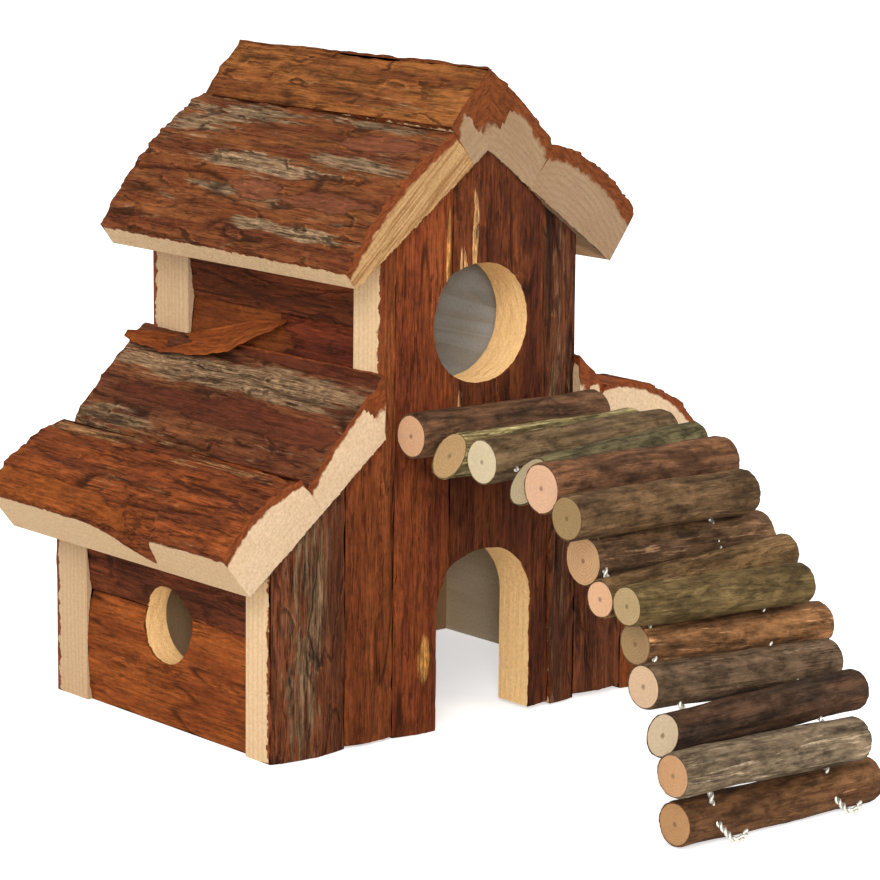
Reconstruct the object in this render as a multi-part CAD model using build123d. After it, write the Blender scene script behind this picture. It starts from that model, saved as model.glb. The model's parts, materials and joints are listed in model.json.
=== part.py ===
from build123d import *
import os
from math import atan, cos, radians, sin, tan

# A two-storey rodent house of half-log slabs with a bendable ladder of natural rungs, in millimetres.
# It is worked out with the house's middle at x = y = 0, its front towards -y and the ground at z = 0.
# At the end everything moves along y, so that the origin is the middle of the whole footprint.

# House
HOUSE_WIDTH = 200.0
HOUSE_DEPTH = 140.0
WING_HEIGHT = 78.1
TOWER_HEIGHT = 188.2
FRONT_EDGE = 15.5
REAR_EDGE = 21.3
SIDE_EDGE = 9.8
SIDE_CROWN = 11.8

# Openings
DOOR_WIDTH = 47.5
DOOR_HEIGHT = 69.5
DOOR_OFFSET = 3.0
WINDOW_DIAMETER = 46.5
WINDOW_HEIGHT = 158.0
WINDOW_OFFSET = -0.5
SIDE_WINDOW_DIAMETER = 30.4
SIDE_WINDOW_HEIGHT = 40.4
SIDE_WINDOW_OFFSET = -3.3

# Upper floor
FLOOR_TOP = 112.0
FLOOR_BOARD = 8.0

# Roofs
WING_EAVE = 13.5
TOWER_EAVE = 15.3
FRONT_OVERHANG = 4.4
REAR_OVERHANG = 9.6
ROOF_SLAB = 20.0
ROOF_GAP = 0.5

# Fasteners: square brads, and one staple for each ladder wire
BRAD_SIZE = 1.2
BRAD_LENGTH = 28.0
BRAD_REACH = 14.0
STAPLE_WIDTH = 6.0
STAPLE_LEG = 9.0
DRIVEN_CLEARANCE = 0.05

# Ladder
RUNG_DIAMETER = 17.0
RUNG_LENGTH = 94.0
RUNG_GAP = 0.8
LADDER_TOP = 120.0
LADDER_DRIFT = -10.0
WIRE_DIAMETER = 2.0
WIRE_HOLE = 2.8
WIRE_BEND = 2.2
WIRE_TAIL = 11.0
WIRE_END = 6.0

# One overrun serves all cuts.
OVERRUN = 30.0

# The tower's width as a share of the house's, the distance between the wires as a share of the tower's
# width, so that both pass between its side boards, and each roof's rise as a share of its reach.
tower_width_share = 0.491
wire_spread_share = 0.5906
wing_rise_share = 0.807
tower_rise_share = 0.743

# Seams of the upright boards across the house, as shares of its width: at the ground, at the top.
front_seam_shares = (
    (0.177, 0.177), (0.295, 0.295), (0.435, 0.435), (0.698, 0.645), (0.766, 0.766), (0.895, 0.895),
)
rear_seam_shares = ((0.16, 0.16), (0.33, 0.32), (0.52, 0.53), (0.69, 0.69), (0.84, 0.84))

# How far each upright board stops above the ground, as a share of the front wall's edge.
front_lift_shares = (0.0, 0.06, 0.0, 0.1, 0.03, 0.12, 0.0)
rear_lift_shares = (0.0, 0.08, 0.0, 0.05, 0.1, 0.0)

# How far a wall board swells over its edges, as a share of its width.
wall_crown_share = 0.07

# Seams of the level boards, as shares of the height of their wall at its outer face.
left_wing_seam_share = 0.576
right_wing_seam_share = 0.29
left_tower_seam_share = 0.6
right_tower_seam_share = 0.42

# Where the brads sit: up a wing's side, up a tower's side, and across the thickness of a side board.
wing_brad_shares = (0.15, 0.75)
tower_brad_shares = (0.3, 0.8)
brad_place_share = 0.7

# Roof slabs from the top down: width as a share of the slope, then upper edge, crown, the crown's
# place across the slab and lower edge. The edges and the crown are shares of the slab's thickness.
tower_left_shares = ((0.115, 1.0, 1.15, 0.45, 0.95), (0.885, 0.9, 0.98, 0.3, 0.45))
tower_right_shares = ((0.343, 1.02, 1.18, 0.6, 0.98), (0.657, 1.0, 1.32, 0.55, 1.1))
wing_left_shares = ((0.464, 0.9, 1.18, 0.6, 0.75), (0.536, 0.85, 1.15, 0.55, 1.0))
wing_right_shares = ((0.075, 0.72, 0.82, 0.5, 0.75), (0.925, 0.8, 1.65, 0.55, 1.05))

# Rungs from the wall down to the foot: slope of the step from the rung before in degrees, diameter as a
# share, tilt and yaw in degrees, and the middle's shift and the length as shares of the rung's length.
rung_shares = (
    (0, 1.03, 0.0, 0.0, 0.03, 1.0),
    (14, 0.98, 0.0, -0.5, 0.04, 1.03),
    (-2, 1.05, 0.0, 0.0, 0.06, 0.99),
    (10, 0.96, 3.5, 1.0, 0.05, 0.99),
    (0, 1.14, -1.0, 0.5, 0.0, 0.99),
    (24, 1.03, -1.5, -0.5, -0.06, 0.94),
    (108, 1.16, -1.0, 0.5, 0.09, 0.95),
    (17, 0.89, 2.5, 1.0, 0.02, 1.0),
    (11, 0.94, -3.5, 0.5, -0.05, 0.93),
    (106, 0.98, -3.5, -0.5, 0.08, 0.99),
    (34, 0.98, -3.0, 0.0, -0.03, 1.0),
    (38, 0.96, 0.5, -2.0, -0.07, 1.02),
    (46, 1.01, -1.5, 0.0, -0.15, 0.97),
    (105, 0.98, 0.0, -0.5, -0.05, 1.02),
)

# Sections along a rung: place along it, and how far the wood stays inside its full radius.
rung_section_shares = (0.0, 0.24, 0.5, 0.77, 1.0)
rung_slack_share = 0.07

# How quickly that goes round, in radians, from section to section and from rung to rung.
slack_waves = (2.1, 1.7)
drift_waves = (1.3, 2.9)

# The way in which a wire leaves the last rung, in x, y and z.
wire_exit_shares = (0.0, -0.866, -0.5)

# Rungs whose left end is sawn at a slant, by number: the slant in degrees.
SLANTED_ENDS = {2: 28, 4: 35, 12: 14}

X, Y, Z = Vector(1, 0, 0), Vector(0, 1, 0), Vector(0, 0, 1)

FRONT_FACE = -HOUSE_DEPTH / 2
REAR_FACE = HOUSE_DEPTH / 2
FRONT_INNER = FRONT_FACE + FRONT_EDGE
REAR_INNER = REAR_FACE - REAR_EDGE
ROOM_DEPTH = REAR_INNER - FRONT_INNER
HALF_HOUSE = HOUSE_WIDTH / 2
TOWER_WIDTH = HOUSE_WIDTH * tower_width_share
HALF_TOWER = TOWER_WIDTH / 2
WIRE_SPREAD = TOWER_WIDTH * wire_spread_share
HALF_ROOM = HALF_HOUSE - SIDE_CROWN
SHOULDER = WING_HEIGHT + (HALF_HOUSE - HALF_TOWER) * wing_rise_share
APEX = TOWER_HEIGHT + HALF_TOWER * tower_rise_share


def prism(points, low, high):
    """A solid between y = low and y = high with the given outline in x and z."""
    face = make_face(Polyline(*[(x, low, z) for x, z in points], close=True))
    return extrude(face, amount=high - low, dir=Y)


def slab(corner, across, outward, along, width, length, start, crown, crown_share, end):
    """A slab sawn off a log: a flat back from the corner, square edges and a crowned bark face."""
    plane = Plane(origin=corner, x_dir=across, z_dir=across.cross(outward))
    sides = Polyline((0, start), (0, 0), (width, 0), (width, end))
    bark = ThreePointArc((width, end), (width * crown_share, crown), (0, start))
    return extrude(plane * make_face(sides + bark), amount=length, dir=along)


def bar(start, end, size):
    """A straight square bar between two points, as brads and staple legs are."""
    start, end = Vector(*start), Vector(*end)
    plane = Plane(origin=start, z_dir=end - start)
    return extrude(plane * Rectangle(size, size), amount=(end - start).length)


def rod(start, end, diameter):
    """A straight round rod between two points."""
    plane = Plane(origin=start, z_dir=end - start)
    return extrude(plane * Circle(diameter / 2), amount=(end - start).length)


# The outline that the front and rear wall share, and that the side boards are bevelled to
house_outline = (
    (-HALF_HOUSE, 0),
    (HALF_HOUSE, 0),
    (HALF_HOUSE, WING_HEIGHT),
    (HALF_TOWER, SHOULDER),
    (HALF_TOWER, TOWER_HEIGHT),
    (0, APEX),
    (-HALF_TOWER, TOWER_HEIGHT),
    (-HALF_TOWER, SHOULDER),
    (-HALF_HOUSE, WING_HEIGHT),
)
house_prism = prism(house_outline, FRONT_FACE - OVERRUN, REAR_FACE + OVERRUN)

parts = {}


def board_span(seams, number, top):
    """The two sides of one upright board at the ground, or at the top, in x."""
    inner = [HOUSE_WIDTH * seam[1 if top else 0] - HALF_HOUSE for seam in seams]
    edges = [-HALF_HOUSE] + inner + [HALF_HOUSE]
    return edges[number], edges[number + 1]


def wall(name, seams, lifts, inner, edge, outward):
    """The upright boards of the front or rear wall, side by side, cut to the house's outline."""
    boards = {}
    for number, lift in enumerate(lifts):
        foot = board_span(seams, number, False)
        head = board_span(seams, number, True)
        left, right = min(foot[0], head[0]), max(foot[1], head[1])
        crown = edge + (right - left) * wall_crown_share
        low = lift * FRONT_EDGE
        corner = Vector(left, inner, low)
        blank = slab(corner, X, outward, Z, right - left, APEX, edge, crown, 0.5, edge)
        sides = ((foot[0], 0), (foot[1], 0), (head[1], APEX), (head[0], APEX))
        cut = prism(sides, FRONT_FACE - OVERRUN, REAR_FACE + OVERRUN)
        boards[f"{name}_board_{number + 1}"] = blank & cut & house_prism
    return boards


def front_door():
    """The arched doorway: straight jambs under a half circle."""
    radius = DOOR_WIDTH / 2
    spring = DOOR_HEIGHT - radius
    left, right = DOOR_OFFSET - radius, DOOR_OFFSET + radius
    jambs = Polyline((left, spring), (left, -OVERRUN), (right, -OVERRUN), (right, spring))
    arch = ThreePointArc((right, spring), (DOOR_OFFSET, DOOR_HEIGHT), (left, spring))
    plane = Plane(origin=(0, FRONT_INNER + FRONT_EDGE, 0), x_dir=X, z_dir=-Y)
    return extrude(plane * make_face(jambs + arch), amount=FRONT_EDGE + OVERRUN, both=True)


def front_window():
    """The round window of the upper room."""
    centre = Vector(WINDOW_OFFSET, FRONT_FACE - OVERRUN, WINDOW_HEIGHT)
    return rod(centre, centre + Y * (FRONT_EDGE + 2 * OVERRUN), WINDOW_DIAMETER)


front = wall("front", front_seam_shares, front_lift_shares, FRONT_INNER, FRONT_EDGE, -Y)
rear = wall("rear", rear_seam_shares, rear_lift_shares, REAR_INNER, REAR_EDGE, Y)
for name, board in front.items():
    front[name] = board - front_door() - front_window()


def side_boards(name, side, inner, bottom, top, seam, window=None):
    """Two level boards between the front and rear wall, bevelled to the roof slope above them."""
    outward = X * side
    boards = {}
    spans = (("lower", bottom, seam), ("upper", seam, top + OVERRUN))
    for place, low, high in spans:
        # the upper board's crown is set by its height under the roof, not by the stock cut away
        height = (min(high, top) - low) / (high - low)
        corner = Vector(side * inner, FRONT_INNER, low)
        blank = slab(corner, Z, outward, Y, high - low, ROOM_DEPTH,
                     SIDE_EDGE, SIDE_CROWN, height / 2, SIDE_EDGE)
        board = blank & house_prism
        if window is not None:
            board = board - window
        boards[f"{name}_{place}_board"] = board
    return boards


side_window_centre = Vector(-HALF_HOUSE - OVERRUN, SIDE_WINDOW_OFFSET, SIDE_WINDOW_HEIGHT)
side_window_reach = X * (SIDE_CROWN + 2 * OVERRUN)
side_window = rod(side_window_centre, side_window_centre + side_window_reach, SIDE_WINDOW_DIAMETER)

tower_side = TOWER_HEIGHT - FLOOR_TOP
sides = {}
for name, side, share, window in (
    ("left_wing", -1, left_wing_seam_share, side_window),
    ("right_wing", 1, right_wing_seam_share, None),
):
    sides.update(side_boards(name, side, HALF_ROOM, 0, WING_HEIGHT, WING_HEIGHT * share, window))
for name, side, share in (
    ("left_tower", -1, left_tower_seam_share),
    ("right_tower", 1, right_tower_seam_share),
):
    seam = FLOOR_TOP + tower_side * share
    sides.update(side_boards(name, side, HALF_TOWER - SIDE_CROWN, FLOOR_TOP, TOWER_HEIGHT, seam))

floor_corner = Vector(-HALF_TOWER, FRONT_INNER, FLOOR_TOP - FLOOR_BOARD)
floor_board = Pos(*floor_corner) * Box(TOWER_WIDTH, ROOM_DEPTH, FLOOR_BOARD, align=Align.MIN)


class Slope:
    """One roof slope: its upper corner on the wall, and the ways down along it and out of it."""

    def __init__(self, side, x, z, rise_share, reach):
        angle = atan(rise_share)
        self.side = side
        self.top = Vector(side * x, 0, z)
        self.down = Vector(side * cos(angle), 0, -sin(angle))
        self.out = Vector(side * sin(angle), 0, cos(angle))
        self.length = reach / cos(angle)


def roof(name, slope, shares, stop):
    """The slabs of one slope, from the top down. The top one is sawn upright at x = stop."""
    slabs = {}
    done = 0
    front_end = FRONT_FACE - FRONT_OVERHANG
    length = HOUSE_DEPTH + FRONT_OVERHANG + REAR_OVERHANG
    far = slope.side * HOUSE_WIDTH
    keep = ((stop, -OVERRUN), (far, -OVERRUN), (far, 2 * APEX), (stop, 2 * APEX))
    for number, (width_share, upper, crown, crown_share, lower) in enumerate(shares):
        width = width_share * slope.length
        # the top slab has stock beyond the joint, which the upright cut takes away
        stock = ROOF_SLAB if number == 0 else 0
        start = slope.top + slope.down * (done - stock) + Y * front_end
        span = width + stock
        across = (stock + crown_share * width) / span
        blank = slab(start, slope.down, slope.out, Y, span, length,
                     upper * ROOF_SLAB, crown * ROOF_SLAB, across, lower * ROOF_SLAB)
        if number == 0:
            blank = blank & prism(keep, front_end - OVERRUN, REAR_FACE + REAR_OVERHANG + OVERRUN)
        slabs[f"{name}_slab_{number + 1}"] = blank
        done += width
    return slabs


tower_reach = HALF_TOWER + TOWER_EAVE
wing_reach = HALF_HOUSE - HALF_TOWER + WING_EAVE
slopes = {}
for place, side, tower_shares, wing_shares in (
    ("left", -1, tower_left_shares, wing_left_shares),
    ("right", 1, tower_right_shares, wing_right_shares),
):
    tower_slope = Slope(side, 0, APEX, tower_rise_share, tower_reach)
    wing_slope = Slope(side, HALF_TOWER, SHOULDER, wing_rise_share, wing_reach)
    slopes[f"tower_roof_{place}"] = (tower_slope, tower_shares, 0)
    slopes[f"wing_roof_{place}"] = (wing_slope, wing_shares, side * (HALF_TOWER + ROOF_GAP))
roofs = {}
for name, (slope, shares, stop) in slopes.items():
    roofs.update(roof(name, slope, shares, stop))


class Rung:
    """Where one rung lies: a point at x = 0 on its axis, the axis, and the size of the stick."""

    def __init__(self, row):
        self.slope, share, tilt, yaw, shift, length = row
        self.radius = share * RUNG_DIAMETER / 2
        self.axis = Vector(1, tan(radians(yaw)), tan(radians(tilt)))
        self.shift = shift * RUNG_LENGTH
        self.length = length * RUNG_LENGTH
        self.middle = Vector(0, 0, 0)

    def at(self, x):
        return self.middle + self.axis * x


def step_between(before, rung, way):
    """How far apart two neighbours' axes lie along a step, so that neither end comes closer than the gap."""
    skew = abs((rung.axis - before.axis).dot(way)) * RUNG_LENGTH / 2
    return skew + before.radius + rung.radius + RUNG_GAP


def lay_ladder(lean):
    """The rungs in their places when every step slopes by lean degrees more than its row says."""
    rungs = [Rung(row) for row in rung_shares]
    spans = [board_span(front_seam_shares, n, False) for n in range(len(front_lift_shares))]
    widest = max(right - left for left, right in spans)
    bark = FRONT_FACE - widest * wall_crown_share
    rungs[0].middle = Vector(0, bark - RUNG_GAP - rungs[0].radius, LADDER_TOP)
    for before, rung in zip(rungs, rungs[1:]):
        angle = radians(rung.slope + lean)
        way = Vector(0, -cos(angle), -sin(angle))
        rung.middle = before.middle + way * step_between(before, rung, way)
    return rungs


def settled_ladder():
    """The ladder leaned, by halving, so that its last rung lies on the ground."""
    low, high = -45.0, 45.0
    for _ in range(40):
        lean = (low + high) / 2
        foot = lay_ladder(lean)[-1]
        if foot.middle.Z > foot.radius:
            low = lean
        else:
            high = lean
    return lay_ladder(high)


rungs = settled_ladder()


def rung_solid(number, rung):
    """A natural stick: a ruled loft through circles that vary a little in size and place."""
    sections = []
    for k, share in enumerate(rung_section_shares):
        slack = rung.radius * rung_slack_share
        inset = slack * (1 + sin(slack_waves[0] * k + slack_waves[1] * number)) / 2
        turn = drift_waves[0] * k + drift_waves[1] * number
        off = Vector(0, cos(turn), sin(turn)) * (inset / 2)
        centre = rung.at(rung.shift + (share - 0.5) * rung.length) + off
        sections.append(Plane(origin=centre, x_dir=Y, z_dir=rung.axis) * Circle(rung.radius - inset))
    stick = loft(sections, ruled=True)
    if number in SLANTED_ENDS:
        end = rung.at(rung.shift - rung.length / 2)
        slant = radians(SLANTED_ENDS[number])
        cut = Plane(origin=end + X * (rung.radius * tan(slant)), z_dir=Vector(cos(slant), 0, sin(slant)))
        stick = split(stick, bisect_by=cut, keep=Keep.TOP)
    return stick


def gap_point(number, x):
    """The middle of the gap before a rung at x, on the line between its axis and its neighbour's."""
    rung = rungs[number]
    if number == 0:
        return rung.at(x) + Y * (rung.radius + RUNG_GAP / 2)
    before = rungs[number - 1]
    way = rung.at(x) - before.at(x)
    free = way.length - before.radius - rung.radius
    return before.at(x) + way.normalized() * (before.radius + free / 2)


def wire_route(side):
    """A ladder wire's points: a tail up the inside of the wall, the gaps in turn, and a bent end."""
    last = len(rungs) - 1
    gaps = [gap_point(n, side * WIRE_SPREAD / 2 + LADDER_DRIFT * n / last) for n in range(last + 1)]
    inside = Vector(gaps[0].X, FRONT_INNER + WIRE_DIAMETER / 2, gaps[0].Z)
    foot = rungs[last]
    way_out = Vector(*wire_exit_shares)
    leaves = foot.at(gaps[last].X) + way_out * (foot.radius + WIRE_BEND)
    end = leaves + X * WIRE_END
    return [inside + Z * WIRE_TAIL, inside] + gaps + [leaves, end]


def wire(points):
    """A round wire along the points, with a small bend at each."""
    path = FilletPolyline(*points, radius=WIRE_BEND)
    start = Plane(origin=path @ 0, z_dir=path % 0)
    return sweep(start * Circle(WIRE_DIAMETER / 2), path=path)


routes = {"left": wire_route(-1), "right": wire_route(1)}
wires = {f"ladder_wire_{side}": wire(points) for side, points in routes.items()}
ladder = {}
for number, rung in enumerate(rungs):
    stick = rung_solid(number + 1, rung)
    for points in routes.values():
        enters, leaves = points[number + 2], points[number + 3]
        way = (leaves - enters).normalized() * WIRE_DIAMETER
        stick = stick - rod(enters - way, leaves + way, WIRE_HOLE)
    ladder[f"ladder_rung_{number + 1:02d}"] = stick


def drive(solids, holes, start, end, mouth):
    """Adds a brad from start to end, and the snug slot for it, which begins at mouth."""
    solids.append(bar(start, end, BRAD_SIZE))
    way = (Vector(*end) - Vector(*start)).normalized() * DRIVEN_CLEARANCE
    holes.append(bar(mouth, Vector(*end) + way, BRAD_SIZE + 2 * DRIVEN_CLEARANCE))


def wall_brads(outer, inner, inward):
    """Brads through a wall into the ends of the side boards and of the floor board."""
    solids, holes = [], []
    wing = HALF_ROOM + SIDE_EDGE * brad_place_share
    tower = HALF_TOWER - SIDE_CROWN + SIDE_EDGE * brad_place_share
    places = []
    for side in (-1, 1):
        places += [(side * wing, WING_HEIGHT * share) for share in wing_brad_shares]
        places += [(side * tower, FLOOR_TOP + tower_side * share) for share in tower_brad_shares]
        places.append((side * HALF_TOWER / 2, FLOOR_TOP - FLOOR_BOARD / 2))
    for x, z in places:
        tip = Vector(x, inner, z) + inward * BRAD_REACH
        head = tip - inward * BRAD_LENGTH
        drive(solids, holes, head, tip, Vector(x, outer, z) - inward * OVERRUN)
    return solids, holes


def roof_brads():
    """One brad through each roof slab into the top of each wall."""
    solids, holes = [], []
    for slope, shares, stop in slopes.values():
        done = 0
        for row in shares:
            width = row[0] * slope.length
            for y in ((FRONT_FACE + FRONT_INNER) / 2, (REAR_FACE + REAR_INNER) / 2):
                seat = slope.top + slope.down * (done + min(width / 2, ROOF_SLAB)) + Y * y
                tip = seat - slope.out * BRAD_REACH
                head = tip + slope.out * BRAD_LENGTH
                drive(solids, holes, head, tip, seat + slope.out * (ROOF_SLAB + OVERRUN))
            done += width
    return solids, holes


def wire_staples():
    """A staple over each ladder wire's tail, with its legs in the front wall."""
    solids, holes = [], []
    for points in routes.values():
        middle = (points[0] + points[1]) / 2
        face = Vector(middle.X, FRONT_INNER, middle.Z)
        crown = Y * (WIRE_DIAMETER + DRIVEN_CLEARANCE + BRAD_SIZE / 2)
        half = X * (STAPLE_WIDTH - BRAD_SIZE) / 2
        corner = X * BRAD_SIZE / 2
        back = bar(face + crown - half - corner, face + crown + half + corner, BRAD_SIZE)
        for leg in (-1, 1):
            tip = face + half * leg - Y * STAPLE_LEG
            back = back + bar(face + crown + half * leg, tip, BRAD_SIZE)
            mouth = face + half * leg + Y * BRAD_SIZE
            holes.append(bar(mouth, tip - Y * DRIVEN_CLEARANCE, BRAD_SIZE + 2 * DRIVEN_CLEARANCE))
        solids.append(back)
    return solids, holes


def cut_near(solids, holes):
    """Takes from each solid the holes whose box meets its own."""
    for name, solid in solids.items():
        box = solid.bounding_box()
        for hole in holes:
            reach = hole.bounding_box()
            apart = any(
                low > high
                for low, high in (
                    (box.min.X, reach.max.X), (reach.min.X, box.max.X),
                    (box.min.Y, reach.max.Y), (reach.min.Y, box.max.Y),
                    (box.min.Z, reach.max.Z), (reach.min.Z, box.max.Z),
                )
            )
            if not apart:
                solid = solid - hole
        solids[name] = solid
    return solids


front_brads, front_slots = wall_brads(FRONT_FACE, FRONT_INNER, Y)
rear_brads, rear_slots = wall_brads(REAR_FACE, REAR_INNER, -Y)
slab_brads, slab_slots = roof_brads()
staples, staple_slots = wire_staples()
wire_bores = [rod(points[1] + Y * WIRE_DIAMETER, points[2], WIRE_HOLE) for points in routes.values()]
wire_bores += [Pos(*(points[1] - Y * WIRE_DIAMETER / 2)) * Sphere(WIRE_BEND) for points in routes.values()]

front = cut_near(front, front_slots + slab_slots + staple_slots + wire_bores)
rear = cut_near(rear, rear_slots + slab_slots)
sides = cut_near(sides, front_slots + rear_slots + slab_slots)
roofs = cut_near(roofs, slab_slots)
floor = cut_near({"upper_floor_board": floor_board}, front_slots + rear_slots)

for group in (front, rear, sides, floor, roofs, ladder, wires):
    parts.update(group)
parts["front_wall_brads"] = Compound([b.solid() for b in front_brads])
parts["rear_wall_brads"] = Compound([b.solid() for b in rear_brads])
parts["roof_brads"] = Compound([b.solid() for b in slab_brads])
parts["wire_staples"] = Compound([s.solid() for s in staples])

boxes = [p.bounding_box() for p in parts.values()]
SHIFT = -(min(b.min.Y for b in boxes) + max(b.max.Y for b in boxes)) / 2

os.makedirs("parts", exist_ok=True)
for name, part in parts.items():
    moved = Pos(0, SHIFT, 0) * part
    if len(moved.solids()) == 1:
        moved = moved.solid()
    moved.label = name
    export_step(moved, f"parts/{name}.step")
print(len(parts), "nodes, moved along y by", round(SHIFT, 3))
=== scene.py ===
# %% [markdown]
# # A rodent house of half-log slabs
# The house is nailed together from slabs that still wear their bark on one side. The part's solids give
# every piece its place. This lesson dresses them: each board is modelled again with real bark relief,
# each rung of the ladder becomes its own stick, and the wires get their two twisted strands.

import itertools
import json
import math

import bmesh
import bpy
import numpy as np
from mathutils import Matrix, Vector


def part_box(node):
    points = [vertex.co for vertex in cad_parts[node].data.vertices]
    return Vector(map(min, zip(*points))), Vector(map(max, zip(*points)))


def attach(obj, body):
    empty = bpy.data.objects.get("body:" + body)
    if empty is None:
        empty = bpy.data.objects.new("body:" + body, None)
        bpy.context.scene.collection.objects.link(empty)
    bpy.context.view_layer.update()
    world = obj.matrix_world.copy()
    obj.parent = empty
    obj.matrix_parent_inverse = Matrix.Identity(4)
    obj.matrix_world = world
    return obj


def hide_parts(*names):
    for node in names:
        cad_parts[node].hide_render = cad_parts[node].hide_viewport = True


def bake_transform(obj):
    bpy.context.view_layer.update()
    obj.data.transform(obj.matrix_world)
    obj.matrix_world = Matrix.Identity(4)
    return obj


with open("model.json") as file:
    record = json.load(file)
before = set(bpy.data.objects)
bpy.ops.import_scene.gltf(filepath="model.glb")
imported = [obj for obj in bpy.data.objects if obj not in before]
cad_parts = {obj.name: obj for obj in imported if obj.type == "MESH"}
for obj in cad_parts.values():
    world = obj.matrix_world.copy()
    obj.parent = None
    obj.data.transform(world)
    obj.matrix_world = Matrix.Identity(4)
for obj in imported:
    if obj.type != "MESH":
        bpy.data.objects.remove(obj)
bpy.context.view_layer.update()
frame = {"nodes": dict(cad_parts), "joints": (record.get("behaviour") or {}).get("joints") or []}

# %% [markdown]
# ## Sizes
# The solids were drawn in millimetres with the house's middle at x = y = 0. The slabs could be measured on
# the solids' meshes, but a slab that is rebuilt needs its true sizes, so these are named here. The floor
# board tells how far the house was moved along y.

# %% Sizes of the house
MM = 0.001
HALF_HOUSE = 100 * MM
HALF_TOWER = 49.1 * MM
WING_HEIGHT = 78.1 * MM
TOWER_HEIGHT = 188.2 * MM
FRONT_FACE, REAR_FACE = -70 * MM, 70 * MM
FRONT_EDGE, REAR_EDGE = 15.5 * MM, 21.3 * MM
SIDE_EDGE, SIDE_CROWN = 9.8 * MM, 11.8 * MM
FLOOR_TOP = 112 * MM
ROOF_SLAB = 20 * MM
FRONT_OVERHANG, REAR_OVERHANG = 4.4 * MM, 9.6 * MM
TOWER_REACH = HALF_TOWER + 15.3 * MM
WING_REACH = HALF_HOUSE - HALF_TOWER + 13.5 * MM
WING_RISE, TOWER_RISE = 0.807, 0.743
WALL_CROWN_SHARE = 0.07

FRONT_INNER = FRONT_FACE + FRONT_EDGE
REAR_INNER = REAR_FACE - REAR_EDGE
SHOULDER = WING_HEIGHT + (HALF_HOUSE - HALF_TOWER) * WING_RISE
APEX = TOWER_HEIGHT + HALF_TOWER * TOWER_RISE
ROOF_LENGTH = REAR_FACE - FRONT_FACE + FRONT_OVERHANG + REAR_OVERHANG
HOUSE_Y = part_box("upper_floor_board")[0].y - FRONT_INNER
print("the house was moved along y by", round(HOUSE_Y / MM, 2), "mm")

# %% [markdown]
# ## Noise
# Bark is rough in a way that repeats nowhere. A gradient noise gives that roughness: smooth random
# bumps at a chosen size. Blender has one of its own, but it takes one point at a time, which is slow for
# a million points. This one works on whole arrays, and it starts from a fixed seed, so each run gives
# the same bark.

# %% Gradient noise
NOISE_GAIN = 1.5
chance = np.random.default_rng(11)
LATTICE = chance.permutation(256)
GRADIENTS = chance.normal(size=(256, 3))
GRADIENTS /= np.linalg.norm(GRADIENTS, axis=1)[:, None]


def noise(x, y, z, seed=0.0):
    """Smooth noise from about -1 to 1, at points given by three arrays."""
    moved = (x + 7.31 * seed, y - 3.17 * seed, z + 1.93 * seed)
    p = np.stack(np.broadcast_arrays(*moved), axis=-1).astype(float)
    cell = np.floor(p).astype(int)
    inside = p - cell
    ease = inside ** 3 * (inside * (inside * 6 - 15) + 10)
    total = np.zeros(p.shape[:-1])
    for corner in itertools.product((0, 1), repeat=3):
        at = (cell + corner) & 255
        pick = LATTICE[(LATTICE[(LATTICE[at[..., 0]] + at[..., 1]) & 255] + at[..., 2]) & 255]
        weight = np.prod(np.where(corner, ease, 1 - ease), axis=-1)
        total += weight * np.sum(GRADIENTS[pick] * (inside - corner), axis=-1)
    return total * NOISE_GAIN


def smooth_step(low, high, value):
    """0 below low, 1 above high, and an even curve between."""
    t = np.clip((value - low) / (high - low), 0, 1)
    return t * t * (3 - 2 * t)


print("noise at the origin of seed 1", round(float(noise(0, 0, 0, 1)), 3))

# %% [markdown]
# ## Bark relief
# Seen close, the bark of these slabs has long cracks along the grain, plates that step down where an
# outer layer has flaked off, fine fibres, and a crumbly grit. One function adds them up. Besides the
# height it gives how deep in a crack a point is and the level that the plates step by, because the
# finish paints shade into the cracks and at the feet of plates. A Displace modifier would be shorter,
# but its texture can't follow each slab's own grain, so the relief is written to the points.

# %% The relief function
def bark_relief(across, along, depth, seed, rough=1.0, plates=1.0):
    """Height in metres, crack from 0 to 1 and the level that plates step by, over a bark face."""
    def layer(wide, long, number):
        """Noise with bumps so many millimetres wide and long."""
        return noise(a / (wide * MM), along / (long * MM), depth / (wide * MM), seed + number)

    a = across
    # from here on the places are moved a little sideways, so the cracks wander
    a = across + 4 * MM * layer(22, 70, 0)
    line = 1 - 2.4 * np.abs(layer(9.5, 85, 1))
    crack = smooth_step(0.8, 0.98, line) * smooth_step(-0.2, 0.3, layer(20, 30, 2))
    level = 1.35 * (layer(13, 60, 3) + 0.35 * layer(4.8, 20, 4)) + 0.12 * layer(2, 5.5, 8)
    step = np.floor(level) + smooth_step(0.84, 1.0, level - np.floor(level))
    fibre, strand = layer(1.7, 22, 5), layer(3.4, 30, 9)
    grit, swell = layer(2.4, 4, 6), layer(34, 90, 7)
    height = 0.7 * plates * (np.clip(step, -2, 2) - 0.3) - crack
    height = height + 0.5 * fibre + 0.55 * strand + 0.2 * grit + 0.5 * swell
    return height * rough * MM, crack, level


print("relief and crack at one point", *(round(float(v), 4) for v in bark_relief(0.01, 0.02, 0.0, 1)[:2]))

# %% [markdown]
# ## Colours and nodes
# Colours are written as they look on screen, from 0 to 255, and turned into the linear values that
# shaders use. A finish is a long sum of noises, which is hard to read as nodes. So a node's output is
# wrapped here in a term that knows plus, minus and times, and a finish can be written as a formula.

# %% Colours and terms
def paint(red, green, blue):
    """A screen colour as a linear colour with alpha."""
    def linear(c):
        c = c / 255
        return c / 12.92 if c <= 0.04045 else ((c + 0.055) / 1.055) ** 2.4
    return (linear(red), linear(green), linear(blue), 1.0)


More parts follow.
